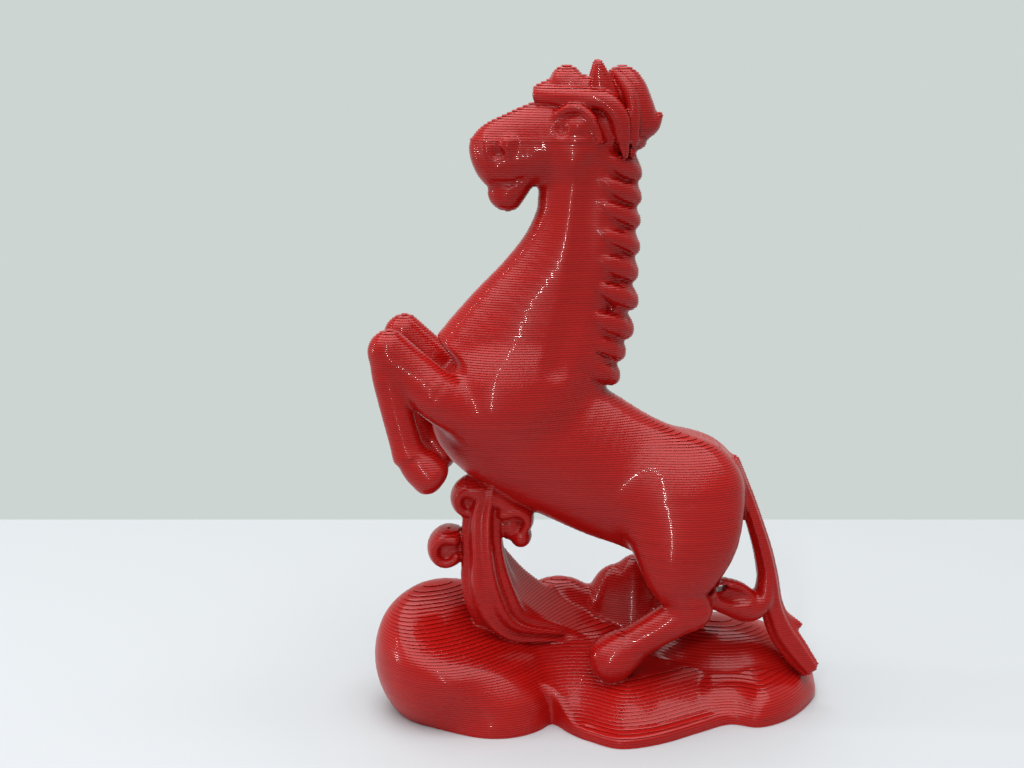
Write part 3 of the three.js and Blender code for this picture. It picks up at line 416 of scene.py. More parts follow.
LOCK = 2.6
for node, side in (("left_side_lock", -1), ("right_side_lock", 1)):
    piece(node, limb(on_horse([
        [-8.9, side * 1.1, 77.2, 0.8 * LOCK, 0.6 * LOCK],
        [-6.2, side * 2.6, 77.1, 0.95 * LOCK, 0.9 * LOCK],
        [-3.2, side * 3.4, 76.9, LOCK, LOCK],
        [-0.2, side * 3.9, 76.5, LOCK, LOCK],
        [1.5, side * 4.0, 74.6, LOCK, 0.9 * LOCK],
        [2.0, side * 3.8, 72.4, 0.86 * LOCK, 0.7 * LOCK],
        [2.4, side * 3.5, 70.0, 0.4 * LOCK, 0.4 * LOCK],
    ]), ends=(0.4, 0.8)), fillet=0.3)
MANE_WIDTH = 4.4
MANE_LOCKS = [
    [5.2, 71.3], [4.7, 67.1], [4.7, 64.0], [4.6, 61.0], [4.6, 57.5],
    [4.4, 54.0], [4.5, 50.3], [3.9, 46.4], [2.9, 43.4], [2.2, 40.2],
]
mane = [limb(on_horse([
    [2.6, 0, 73.0, 3.2, MANE_WIDTH],
    [2.6, 0, 66.0, 2.8, MANE_WIDTH],
    [2.6, 0, 59.0, 2.8, MANE_WIDTH],
    [2.1, 0, 52.0, 2.8, MANE_WIDTH],
    [1.0, 0, 46.0, 2.8, MANE_WIDTH],
    [-1.2, 0, 39.6, 2.4, 0.8 * MANE_WIDTH],
]), ends=(1, 1))]
lock_rng = np.random.default_rng(3)
for tip, height in MANE_LOCKS:
    # each lock is a fat shell that sweeps out and down, and ends in a small hook; a cleft runs in under it
    fat = lock_rng.uniform(0.85, 1.1)
    mane.append(limb(on_horse([
        [tip - 5.6, 0, height + 2.8, 1.6, 0.9 * MANE_WIDTH],
        [tip - 3.2, 0, height + 1.6, 3.2 * fat, MANE_WIDTH],
        [tip - 1.6, 0, height + 0.7, 3.2 * fat, 0.8 * MANE_WIDTH],
        [tip - 0.7, 0, height - 0.1, 1.9, 0.55 * MANE_WIDTH],
        [tip - 0.1, 0, height + 0.5, 0.6, 0.3 * MANE_WIDTH],
    ]), ends=(0.6, 0.3), steps=3))
    for side in (-1, 1):
        lift = lock_rng.uniform(-0.4, 0.6)
        mane.append(limb(on_horse([
            [tip - 5.8 + lift, side * 3.5, height + 2.9, 0.9, 0.9],
            [tip - 3.8, side * 3.0, height + 1.8, 2.2 * fat, 1.9],
            [tip - 2.0, side * 2.0, height + 0.7, 2.5 * fat, 2.0],
            [tip - 0.8, side * 0.9, height + lift / 2, 1.3, 1.2],
        ]), ends=(0.4, 0.4), steps=3))
        carve(limb(on_horse([
            [tip - 0.9, side * 1.8, height - 0.9, 0.5, 1.2],
            [tip - 2.2, side * 2.8, height - 0.3 + lift, 0.5, 1.1],
            [tip - 3.6, side * 3.6, height + 0.5 + lift, 0.3, 0.6],
        ]), ends=(0.3, 0.3), steps=3), soften=0.2)
piece("mane", merged(mane, fillet=0.8), fillet=0.3)


# Forelegs: both are folded, the knees thrust forward and the hooves tucked back. The right one hangs a
# little further back. Solid plastic, growing from the shoulders.
RIGHT_LEG_LAG = 1.2
FOREARM_DEPTH = 6.6
KNEE_DEPTH = 5.3
FORE_SHIN_DEPTH = 4.2
FORE_HOOF_DEPTH = 5.4
for name, side, lag in (("left", -1, 0), ("right", 1, RIGHT_LEG_LAG)):
    leg = side * LEG_SPREAD / 2
    piece(name + "_forearm", limb(on_horse([
        [-16.4 + lag, 0.72 * leg, 35.6, 1.2 * FOREARM_DEPTH, FOREARM_DEPTH],
        [-21.3 + lag, leg, 38.6, 1.03 * FOREARM_DEPTH, 0.9 * FOREARM_DEPTH],
        [-24.9 + lag, leg, 41.9, 0.5 * (FOREARM_DEPTH + KNEE_DEPTH), 0.9 * KNEE_DEPTH],
        [-28.0 + lag, leg, 45.1, KNEE_DEPTH, 0.86 * KNEE_DEPTH],
    ]), ends=(2, 2.4)), fillet=1.0)
    piece(name + "_fore_shin", limb(on_horse([
        [-28.2 + lag, leg, 44.4, 0.86 * KNEE_DEPTH, 0.76 * KNEE_DEPTH],
        [-27.9 + lag, leg, 41.4, 1.08 * FORE_SHIN_DEPTH, 0.96 * FORE_SHIN_DEPTH],
        [-27.0 + lag, leg, 36.8, FORE_SHIN_DEPTH, 0.9 * FORE_SHIN_DEPTH],
        [-26.0 + lag, leg, 32.8, FORE_SHIN_DEPTH, 0.9 * FORE_SHIN_DEPTH],
        [-25.4 + lag, leg, 30.9, 1.1 * FORE_SHIN_DEPTH, FORE_SHIN_DEPTH],
    ]), ends=(2.5, 1.4)), fillet=0.8)
    piece(name + "_fore_hoof", merged([
        limb(on_horse([
            [-25.2 + lag, leg, 30.5, 0.76 * FORE_HOOF_DEPTH, 0.76 * FORE_HOOF_DEPTH],
            [-23.7 + lag, leg, 29.2, FORE_HOOF_DEPTH, 0.9 * FORE_HOOF_DEPTH],
            [-22.6 + lag, leg, 28.2, FORE_HOOF_DEPTH, 0.96 * FORE_HOOF_DEPTH],
        ]), ends=(1.4, 1.9)),
        limb(on_horse([
            [-23.2 + lag, leg, 27.8, 4.4, 4.0],
            [-22.9 + lag, leg, 26.1, 1.4, 1.6],
        ]), ends=(0.5, 0.4)),
    ], fillet=0.4), fillet=0.5)
    # the coronet, a groove round the top of the hoof
    carve(limb(on_horse([
        [-26.8 + lag, leg + side * 2.2, 29.6, 0.5, 0.9],
        [-24.2 + lag, leg + side * 2.7, 31.0, 0.7, 1.2],
        [-21.6 + lag, leg + side * 2.4, 32.2, 0.5, 0.9],
    ]), ends=(0.3, 0.3)), soften=0.3)


# Hind legs: they carry the horse. A broad thigh narrows to the hock, the shin comes forward, and the
# hoof stands on the base. The right leg stands steeper, its hoof further back.
THIGH_DEPTH = 16.6
HOCK_DEPTH = 5.4
HIND_SHIN_DEPTH = 4.9
HIND_HOOF_DEPTH = 6.5
HIND_SHINS = {
    "left": [[9.6, 8.2, 1.02], [6.4, 6.2, 0.98], [3.8, 4.5, 1.0]],
    "right": [[11.0, 7.2, 1.02], [9.4, 5.0, 1.0]],
}
HIND_HOOVES = {
    "left": [[3.6, 4.4, 0.86], [1.5, 2.7, 1.0], [0.6, 2.0, 0.9]],
    "right": [[9.2, 4.8, 0.86], [7.8, 2.8, 1.0], [7.3, 2.1, 0.9]],
}
for name, side in (("left", -1), ("right", 1)):
    leg = side * LEG_SPREAD / 2
    piece(name + "_thigh", limb(on_horse([
        [10.4, 0.62 * leg, 24.6, THIGH_DEPTH, 0.56 * THIGH_DEPTH],
        [10.9, 0.8 * leg, 20.4, 0.9 * THIGH_DEPTH, 0.52 * THIGH_DEPTH],
        [10.6, 0.94 * leg, 16.6, 0.69 * THIGH_DEPTH, 0.44 * THIGH_DEPTH],
        [10.3, leg, 14.3, 0.52 * THIGH_DEPTH, 0.38 * THIGH_DEPTH],
        [10.8, leg, 12.1, 1.14 * HOCK_DEPTH, 1.04 * HOCK_DEPTH],
        [11.8, leg, 10.2, 1.04 * HOCK_DEPTH, 0.94 * HOCK_DEPTH],
        [12.3, leg, 9.2, HOCK_DEPTH, 0.9 * HOCK_DEPTH],
    ]), ends=(7.6, 2)), fillet=2.0)
    shin = [[12.0, leg, 9.2, 0.86 * HOCK_DEPTH, 0.8 * HOCK_DEPTH]]
    shin += [[x, leg, z, share * HIND_SHIN_DEPTH, 0.94 * share * HIND_SHIN_DEPTH]
             for x, z, share in HIND_SHINS[name]]
    piece(name + "_hind_shin", limb(on_horse(shin), ends=(2, 1.4)), fillet=0.8)
    hoof = [[x, leg, z, share * HIND_HOOF_DEPTH, 0.94 * share * HIND_HOOF_DEPTH]
            for x, z, share in HIND_HOOVES[name]]
    piece(name + "_hind_hoof", limb(on_horse(hoof), ends=(1.2, 2)), fillet=0.5)


# Tail: a ribbed strip that falls from the croup to the base, with a short side tip low down, and a broad
# hook that curls forward to the left hock. Solid plastic, in one with the thighs and the base.
TAIL_WIDTH = 4.6
TAIL_DEPTH = 2.8
piece("tail", merged([
    limb(on_horse([
        [17.5, 0, 28.2, 0.9 * TAIL_DEPTH, 0.76 * TAIL_WIDTH],
        [19.7, 0, 23.4, 0.76 * TAIL_DEPTH, 0.76 * TAIL_WIDTH],
        [21.1, 0, 19.4, 0.82 * TAIL_DEPTH, 0.84 * TAIL_WIDTH],
        [22.2, 0, 15.8, 0.9 * TAIL_DEPTH, 0.92 * TAIL_WIDTH],
        [23.0, 0, 12.0, TAIL_DEPTH, TAIL_WIDTH],
        [23.6, 0, 8.4, 1.06 * TAIL_DEPTH, TAIL_WIDTH],
        [24.8, 0, 4.9, 1.3 * TAIL_DEPTH, 0.9 * TAIL_WIDTH],
        [27.0, 0, 1.6, 1.3 * TAIL_DEPTH, 0.7 * TAIL_WIDTH],
        [29.2, 0, -1.2, 1.0 * TAIL_DEPTH, 0.5 * TAIL_WIDTH],
    ]), ends=(1, 0.6), flutes=(7, 0.14)),
    limb(on_horse([
        [23.8, 0.6, 7.0, 0.9 * TAIL_DEPTH, 0.7 * TAIL_WIDTH],
        [25.8, 0.8, 5.0, 1.1 * TAIL_DEPTH, 0.5 * TAIL_WIDTH],
        [27.9, 1.0, 4.9, 0.24 * TAIL_DEPTH, 0.24 * TAIL_WIDTH],
    ]), ends=(0.5, 0.3)),
], fillet=0.6), fillet=0.6)
piece("tail_hook", limb(on_horse([
    [22.6, -0.6, 12.6, 0.8 * TAIL_DEPTH, 0.8 * TAIL_WIDTH],
    [22.2, -1.0, 9.6, 1.1 * TAIL_DEPTH, TAIL_WIDTH],
    [20.2, -1.6, 8.6, 1.6 * TAIL_DEPTH, TAIL_WIDTH],
    [17.8, -2.8, 10.1, 1.8 * TAIL_DEPTH, 0.9 * TAIL_WIDTH],
    [15.0, -4.0, 11.4, 1.6 * TAIL_DEPTH, 0.8 * TAIL_WIDTH],
]), ends=(0.8, 1)), fillet=0.4)
# the leaf-shaped hollow in the hook's side, and the slot through it
carve(pebble((18.6, -5.6, GROUND + 10.7), (6.2, 4.6, 2.7), turn=16))
carve(pebble((16.2, -5.0, GROUND + 12.0), (1.7, 14.0, 1.1)))


# Boulder: the large smooth rock at the left end, cut flat by the print bed. Its sides are steep, and its
# top rises to the back and falls to the right. Solid plastic, in one with the base.
def topped(form, place, tilt, fall, rounding):
    """The part of a form under a plane through a place, which rises by tilt to the back and falls by
    fall to the right. The edge is rounded."""
    up = np.array((fall, -tilt, 1)) / math.sqrt(1 + fall**2 + tilt**2)

    def distance(x, y, z):
        over = (x - place[0]) * up[0] + (y - place[1]) * up[1] + (z - place[2]) * up[2]
        return -soft_union(-form["distance"](x, y, z), -over, rounding)

    return {"box": form["box"], "distance": distance}


BOULDER_SHOULDER = (-21.5, -5.0, 13.5)
BOULDER_TILT = 0.38
BOULDER_FALL = 0.43
lump = merged([
    pebble((-19.65, -0.8, 7.5), (22.4, 23.0, 22.6)),
    pebble((-14.2, -3.4, 0.0), (16.8, 18.6, 22.0)),
], fillet=2.5)
lump = topped(lump, BOULDER_SHOULDER, BOULDER_TILT, 0, 3.0)
piece("boulder", topped(lump, BOULDER_SHOULDER, BOULDER_TILT, BOULDER_FALL, 3.0), fillet=0.5)


# Wave: a fluted stem under the chest that turns to the right and runs out as a slide, whose bed rises
# towards the back. Three rolls of foam curl from its crest. Solid plastic, from the boulder to the chest.
def terrain(box, height, outline=None, edge=0.8):
    """Solid below a surface z = height(x, y): the drop to it over the root of 1 + slope^2. Where an
    outline is given, the sides are upright and meet the surface in a rounded edge."""
    def distance(x, y, z):
        xs, ys = x[:, :, 0], y[:, :, 0]
        top = height(xs, ys)
        gx, gy = np.gradient(top, xs[1, 0] - xs[0, 0], ys[0, 1] - ys[0, 0])
        steep = np.sqrt(1 + np.minimum(gx**2 + gy**2, 9))
        drop = (z - top[:, :, None]) / steep[:, :, None]
        if outline is not None:
            inward = inside_outline(xs, ys, outline)[:, :, None]
            drop = -soft_union(-drop, inward, edge)
        return drop.astype(np.float32)

    return {"box": (np.array(box[0], float), np.array(box[1], float)), "distance": distance}


def from_line(x, y, corners):
    """Distance from a line through corners: the least of the distances to its stretches."""
    best = np.full(x.shape, 1e6)
    for (ax, ay), (bx, by) in zip(corners[:-1], corners[1:]):
        ex, ey = bx - ax, by - ay
        t = np.clip(((x - ax) * ex + (y - ay) * ey) / (ex * ex + ey * ey), 0, 1)
        best = np.minimum(best, (x - ax - t * ex) ** 2 + (y - ay - t * ey) ** 2)
    return np.sqrt(best)


def inside_outline(x, y, corners):
    """Distance in from a closed outline, negative outside. A place is inside when a ray from it crosses
    the outline an odd number of times."""
    odd = np.zeros(x.shape, bool)
    for (ax, ay), (bx, by) in zip(corners, np.roll(corners, -1, 0)):
        crosses = (ay > y) != (by > y)
        odd ^= crosses & (x < (bx - ax) * (y - ay) / (by - ay + 1e-12) + ax)
    return np.where(odd, 1, -1) * from_line(x, y, np.vstack([corners, corners[:1]]))


def closed_curve(corners, steps=5):
    """A smooth closed outline through corners: the smooth path through them, carried on past the start,
    of which one whole round is kept."""
    wrapped = np.vstack([corners[-2:], corners, corners[:2]])
    curve = smooth_path(wrapped, steps)
    return curve[2 * steps:-2 * steps + steps - 1]


WAVE_WIDTH = 10.6
SLIDE_FOOT = 7.5
SLIDE_FALL = 13.5
SLIDE_REACH = 8.5
SLIDE_TILT = 0.42


def slide_height(x, y):
    """The bed of the slide: its foot's height, and a fall to it that shrinks e-fold over each reach to
    the right of the stem, plus a tilt that lifts it towards the back."""
    run = (np.maximum(x, -14.2) + 12.9) / SLIDE_REACH
    return SLIDE_FOOT + SLIDE_FALL * np.exp(-run) + SLIDE_TILT * (y - 5)


SLIDE_OUTLINE = np.array([
    [-16, 3.0], [-15.5, -2.5], [-12.6, -2.6], [-9.4, -1.5], [-6.4, -0.5], [-2.4, 0.3], [2.5, 0.9],
    [6.0, 4.0], [4.0, 8.2], [-3.7, 8.6], [-7.6, 6.6], [-12.9, 5.2],
], float)
piece("wave", merged([
    limb([
        [-15.4, -0.6, 31.0, 3.6, 6.2],
        [-16.0, -0.6, 28.0, 4.8, 0.72 * WAVE_WIDTH],
        [-16.1, -0.6, 25.0, 5.0, 0.9 * WAVE_WIDTH],
        [-15.9, -0.7, 22.0, 5.3, WAVE_WIDTH],
        [-15.6, -0.8, 18.6, 6.4, WAVE_WIDTH],
        [-14.6, -0.8, 15.2, 6.8, 0.94 * WAVE_WIDTH],
        [-12.9, -0.6, 12.6, 5.6, 0.74 * WAVE_WIDTH],
        [-10.2, -0.2, 10.9, 4.0, 0.5 * WAVE_WIDTH],
        [-6.6, 0.6, 10.0, 2.6, 0.34 * WAVE_WIDTH],
    ], ends=(1.2, 1.6), flutes=(8, 0.38)),
    limb([
        [-17.4, -0.8, 31.0, 3.4, 6.0],
        [-14.6, -0.8, 30.2, 3.6, 6.0],
        [-12.0, -0.8, 28.6, 2.8, 5.6],
        [-9.8, -0.8, 27.6, 1.4, 5.0],
    ], ends=(1.8, 0.6)),
    terrain(((-17, -4, 4), (8, 10, 24)), slide_height, SLIDE_OUTLINE),
], fillet=0.6), fillet=0.6)
CURL_THICKNESS = 2.3


def curl(middle, radius, start, sweep, tighten=0.42, width=6.4):
    """A strip rolled inwards: at a share s of the roll it is at start + sweep s degrees round the middle,
    and its reach falls to 1 - tighten s of what it was. A thinner disc fills the roll."""
    s = np.linspace(0, 1, 10)
    angle = np.radians(start + sweep * s)
    reach = (radius - CURL_THICKNESS / 2) * (1 - tighten * s)
    strip = limb(np.stack([
        middle[0] + reach * np.cos(angle), np.full(10, middle[1]), middle[2] + reach * np.sin(angle),
        CURL_THICKNESS * (1 - 0.25 * s), width * (1 - 0.2 * s)], 1), ends=(0.8, 0.5), steps=3)
    filling = pebble(middle, (1.5 * radius, 0.62 * width, 1.5 * radius))
    return merged([strip, filling], fillet=0.4)


piece("upper_curl", curl((-17.7, -0.9, 29.5), 3.1, 60, 270), fillet=0.5)
piece("lower_curl", curl((-20.7, -0.9, 22.5), 3.3, 60, 285), fillet=0.5)
piece("right_curl", merged([
    limb([
        [-13.4, -0.9, 27.8, 2.2, 5.6],
        [-11.0, -0.9, 28.2, 2.0, 5.4],
        [-9.9, -0.9, 26.8, 1.8, 5.0],
        [-10.4, -0.9, 25.4, 1.6, 4.6],
    ], ends=(0.8, 0.6)),
    pebble((-10.8, -0.9, 24.4), (3.0, 5.0, 3.1)),
    pebble((-12.2, -0.9, 26.0), (3.6, 3.8, 4.4)),
], fillet=0.4), fillet=0.5)


# Rocks behind: a crag with two tops behind the hind legs and a low ledge behind the wave. Solid plastic,
# standing in the base.
piece("back_rocks", merged([
    pebble((5.4, 8.6, 4.0), (11.0, 11.4, 28.8)),
    pebble((2.4, 8.8, 4.0), (10.0, 10.4, 25.6)),
    pebble((-5.3, 9.2, 4.0), (17.0, 10.2, 22.0)),
], fillet=1.0), fillet=0.8)


# Base: a sheet of rock and water that rises from a thin front rim to the standing place and on to the
# wave. A rounded lobe lies over it at the right end, where the tail comes down. Solid plastic with a flat
# underside, which carries everything else.
BASE_RIM = 1.0
FRONT_SLOPE = 0.7
BACK_SLOPE = 1.8
SHEET_HEIGHT = 9.8
SHEET_RISE = 0.57  # to the back
SHEET_FALL = 0.266  # to the right, and more past the middle
SHEET_BREAK = 0.55
SHEET_LIMIT = 10.0
LOBE_RIM = 4.1
LOBE_ROUNDING = 3.2
LOBE_SLOPE = 0.36
SWELL_HEIGHT = 10.2
SWELL_MIDDLE = (17, 6)
SWELL_HALF = (14, 10)
FRONT_EDGE = np.array([
    [-3.5, -12.0], [-1.8, -13.5], [2, -15.85], [7.3, -14.4], [13, -10.7], [17.3, -8.1], [21.2, -9.1],
    [25.6, -6.3], [29.4, -0.8], [30.8, 3.8],
], float)
BACK_EDGE = np.array([[29.8, 8.5], [24, 13], [12, 15.5], [0, 15.8], [-12, 14.5], [-22, 11]], float)
FOLD = np.array([[-12.4, -2.6], [-11.3, -4.8], [-9.2, -7.0], [-6.4, -8.1], [-4.8, -10.4]], float)
BASE_OUTLINE = closed_curve(np.vstack([
    [[-26, 6], [-26, -3], [-20, -6], [-15, -4]], FOLD, FRONT_EDGE, BACK_EDGE]))
LOBE_OUTLINE = closed_curve(np.array([
    [9.1, -4.2], [13.4, -8], [18, -7.8], [20.5, -9.5], [23.6, -8.6], [27.3, -4.9], [29.8, -0.4], [30.8, 3.8],
    [29.8, 8.5], [24, 13], [12, 15.5], [3, 13], [2.5, 4], [6, -0.5],
], float))


def smoothed(height, rounds):
    """A height map after a number of rounds of averaging: a quarter of each neighbour and half of itself,
    along x and then along y."""
    for _ in range(rounds):
        edged = np.pad(height, 1, mode="edge")
        height = edged[:-2] / 4 + edged[1:-1] / 2 + edged[2:] / 4
        height = height[:, :-2] / 4 + height[:, 1:-1] / 2 + height[:, 2:] / 4
    return height


def base_height(x, y):
    """The lower of three rises: from the front rim, from the back edge, and the middle sheet, which is a
    tilted plane kept between the standing height and its limit. The lobe, a quarter-round edge and then
    a slope, and the swell, the top of an ellipsoid, lie over it."""
    front = BASE_RIM + FRONT_SLOPE * from_line(x, y, FRONT_EDGE)
    rise = BASE_RIM + BACK_SLOPE * from_line(x, y, BACK_EDGE)
    middle = SHEET_HEIGHT + SHEET_RISE * (y - 0.4) - SHEET_FALL * (x + 1.3)
    middle -= SHEET_BREAK * np.maximum(x - 1, 0)
    middle = soft_union(middle, np.full_like(x, SHEET_LIMIT), 1.0)
    standing = -soft_union(-middle, np.full_like(x, -GROUND), 1.0)
    sheet = smoothed(soft_union(soft_union(front, rise, 1.0), standing, 1.0), 14)
    lobe_in = inside_outline(x, y, LOBE_OUTLINE)
    bulge = np.clip(lobe_in / LOBE_ROUNDING, 0, 1)
    lobe = LOBE_RIM * np.sqrt(1 - (1 - bulge) ** 2) + LOBE_SLOPE * np.maximum(lobe_in - 1.8, 0)
    off = ((x - SWELL_MIDDLE[0]) / SWELL_HALF[0]) ** 2 + ((y - SWELL_MIDDLE[1]) / SWELL_HALF[1]) ** 2
    swell = SWELL_HEIGHT * np.sqrt(np.maximum(0, 1 - off))
    return smoothed(np.maximum(np.maximum(sheet, smoothed(lobe, 4)), swell), 3)


piece("base", terrain(((-31.5, -16.5, -1.0), (31.5, 16.5, 12.5)), base_height, BASE_OUTLINE), fillet=0.6)


# The printing. Every form is read at the middle of each layer, they are joined with their fillets, the
# carvings are taken out, and each layer gets the rounded edge of its bead. The skin over all layers is
# then shared out among the pieces.
PITCH = 0.33
MARGIN = 1.5
BEAD_LEVELS = 4
BEAD_DEPTH = 0.10
BEAD_WOBBLE = 0.005
BEAD_TILTS = [-0.35, 0.05, 0.16, 0.36]  # how far each level of a bead looks up
GENTLE = 0.6  # the sideways share of the way out, on a gentle slope
STEEP = 0.85  # and on a steep one
STEP_SAG = 0.3
STEP_SHARE = 0.12
HEAD_SEAM = 77.6  # the printer paused at this height, and the layer stands out
SEAM_DEPTH = 0.12
CAP_SINK = 0.8

low = np.array([-31.6, -16.6, 0.0])
high = np.array([31.6, 16.6, 88.2])
xs = np.arange(low[0], high[0] + PITCH, PITCH, dtype=np.float32)
ys = np.arange(low[1], high[1] + PITCH, PITCH, dtype=np.float32)
layers = np.arange(LAYER / 2, high[2], LAYER, dtype=np.float32)


def window(box, margin):
    """The part of the grid that lies within a form's box and a margin round it."""
    cut = []
    for axis, lo, hi in zip((xs, ys, layers), box[0] - margin, box[1] + margin):
        cut.append(slice(np.searchsorted(axis, lo), np.searchsorted(axis, hi)))
    return tuple(cut)


def read(form, cut):
    """The form's distance at the grid places in a window."""
    x, y, z = np.meshgrid(xs[cut[0]], ys[cut[1]], layers[cut[2]], indexing="ij")
    return form["distance"](x, y, z)


solid = np.full((len(xs), len(ys), len(layers)), 9.0, np.float32)
for entry in print_forms.values():
    entry["window"] = window(entry["form"]["box"], MARGIN + entry["fillet"])
    entry["field"] = read(entry["form"], entry["window"])
    solid[entry["window"]] = soft_union(solid[entry["window"]], entry["field"], entry["fillet"])
for carving in carvings:
    cut = window(carving["form"]["box"], MARGIN)
    solid[cut] = -soft_union(-solid[cut], read(carving["form"], cut), carving["soften"])

# Beads: each layer is a little narrower at its top and bottom, and no two layers are quite alike.
rng = np.random.default_rng(7)
wobble = rng.normal(0, BEAD_WOBBLE, len(layers)).astype(np.float32)
wobble[int(HEAD_SEAM / LAYER)] -= SEAM_DEPTH
within = np.arange(BEAD_LEVELS) / BEAD_LEVELS
indent = BEAD_DEPTH * np.abs(2 * within - 1) ** 2
levels = (np.arange(len(layers))[:, None] + within[None, :]).ravel() * LAYER
field = (solid[:, :, :, None] + (wobble[:, None] + indent[None, :])).reshape(len(xs), len(ys), -1)
field = np.concatenate([np.full(field.shape[:2] + (1,), 0.5, np.float32), field.astype(np.float32)], 2)
levels = np.concatenate([[-LAYER / BEAD_LEVELS], levels])


def skin(values, x, y, z):
    """Surface nets. Every grid edge whose ends differ in sign is crossed at the linear zero between
    them. A cell's corner point is the mean of the crossings on its edges, and each crossed edge gives
    one four-sided face that joins the points of the four cells round it."""
    inside = values < 0
    shape = np.array(values.shape)
    axes = (x, y, z)
    keys, spots, quads = [], [], []
    for axis in range(3):
        a = [slice(None)] * 3
        b = [slice(None)] * 3
        a[axis], b[axis] = slice(None, -1), slice(1, None)
        crossed = inside[tuple(a)] != inside[tuple(b)]
        at = np.argwhere(crossed)
        step = np.zeros(3, int)
        step[axis] = 1
        va = values[tuple(at.T)]
        vb = values[tuple((at + step).T)]
        share = (va / (va - vb)).astype(np.float64)
        spot = np.stack([axes[k][at[:, k]] for k in range(3)], 1).astype(np.float64)
        spot[:, axis] += share * (axes[axis][at[:, axis] + 1] - axes[axis][at[:, axis]])
        u, v = (axis + 1) % 3, (axis + 2) % 3
        corner = []
        for du, dv in ((-1, -1), (0, -1), (0, 0), (-1, 0)):
            cell = at.copy()
            cell[:, u] += du
            cell[:, v] += dv
            corner.append((cell[:, 0] * shape[1] + cell[:, 1]) * shape[2] + cell[:, 2])
            keys.append(corner[-1])
            spots.append(spot)
        corner = np.stack(corner, 1)
        outward = va < 0
        quads.append(np.where(outward[:, None], corner, corner[:, ::-1]))
    keys = np.concatenate(keys)
    cells, index = np.unique(keys, return_inverse=True)
    spots = np.concatenate(spots)
    count = np.bincount(index)
    points = np.stack([np.bincount(index, spots[:, k]) / count for k in range(3)], 1)

    # settle each point at the middle height of its cell, and on the steep parts exactly on the surface
    i, j, k = cells // (shape[1] * shape[2]), cells // shape[2] % shape[1], cells % shape[2]
    points[:, 2] = (z[k] + z[k + 1]) / 2
    pitch = x[1] - x[0]
    near = [[(values[i + a, j + b, k] + values[i + a, j + b, k + 1]) / 2 for b in (0, 1)] for a in (0, 1)]
    for _ in range(2):
        u, v = (points[:, 0] - x[i]) / pitch, (points[:, 1] - y[j]) / pitch
        left, right = near[0][0] * (1 - v) + near[0][1] * v, near[1][0] * (1 - v) + near[1][1] * v
        du = (right - left) / pitch
        dv = ((near[0][1] - near[0][0]) * (1 - u) + (near[1][1] - near[1][0]) * u) / pitch
        slope = du * du + dv * dv
        move = np.where(slope > 0.3, -(left * (1 - u) + right * u) / (slope + 1e-6), 0)
        points[:, 0] += np.clip(move * du, -0.5 * pitch, 0.5 * pitch)
        points[:, 1] += np.clip(move * dv, -0.5 * pitch, 0.5 * pitch)
    return points, np.searchsorted(cells, np.concatenate(quads))


points, quads = skin(field, xs, ys, levels)
points[:, 2] = np.maximum(points[:, 2], 0)
del field


def between(values, places):
    """Value of a grid at places inside it, weighted by how near each of the eight corners is."""
    at = (places - (xs[0], ys[0], layers[0])) / (PITCH, PITCH, LAYER)
    at = np.clip(at, 0, np.array(values.shape) - 1.001)
    cell = at.astype(int)
    share = at - cell
    total = 0
    for step in np.ndindex(2, 2, 2):
        weight = np.prod(np.where(step, share, 1 - share), 1)
        total = total + weight * values[tuple((cell + step).T)]
    return total


# The way out of the print at every point of the skin: the slope of the summed distance.
solid += wobble
slopes = np.gradient(solid, PITCH, PITCH, LAYER)
outward = np.stack([between(slope, points) for slope in slopes], 1)
outward /= np.linalg.norm(outward, axis=1)[:, None] + 1e-9

# On gentle slopes the soft plastic has sagged, so the steps between the layers are lower.
sideways = np.hypot(outward[:, 0], outward[:, 1])
steepness = np.clip((sideways - GENTLE) / (STEEP - GENTLE), 0, 1)[:, None]
sag = (1 - steepness) * STEP_SAG * np.clip(between(solid, points), -LAYER, LAYER)[:, None]
points -= sag * outward
points[:, 2] = np.maximum(points[:, 2], 0)

# Shading normals. On steep parts they follow each bead: straight out on its crown, and tilted up and
# down towards the grooves. On gentle slopes they follow the steps between the layers by a small share.
facing = np.cross(points[quads[:, 2]] - points[quads[:, 0]], points[quads[:, 3]] - points[quads[:, 1]])
facing = np.repeat(facing, 4, 0)
stepped = np.stack([np.bincount(quads.ravel(), facing[:, k], len(points)) for k in range(3)], 1)
stepped /= np.linalg.norm(stepped, axis=1)[:, None] + 1e-12
stepped = STEP_SHARE * stepped + (1 - STEP_SHARE) * outward
bead_place = 2 * (points[:, 2] / LAYER % 1) - 1
tilt = np.interp(bead_place, [-0.75, -0.25, 0.25, 0.75], BEAD_TILTS)
beaded = outward + tilt[:, None] * (0, 0, 1)
normals = steepness * beaded / np.linalg.norm(beaded, axis=1)[:, None] + (1 - steepness) * stepped
normals /= np.linalg.norm(normals, axis=1)[:, None] + 1e-12

# Each face goes to the form that it lies nearest to.
middles = points[quads].mean(1)
nearest = np.full(len(quads), 99.0)
owner = np.zeros(len(quads), int)
for number, entry in enumerate(print_forms.values()):
    lo, hi = entry["form"]["box"][0] - MARGIN, entry["form"]["box"][1] + MARGIN
    where = np.nonzero(np.all((middles > lo) & (middles < hi), 1))[0]
    cell = [np.clip(np.searchsorted(axis[cut], middles[where, k]), 0, entry["field"].shape[k] - 1)
            for k, (axis, cut) in enumerate(zip((xs, ys, layers), entry["window"]))]
    value = entry["field"][tuple(cell)]
    closer = value < nearest[where]
    nearest[where[closer]] = value[closer]
    owner[where[closer]] = number


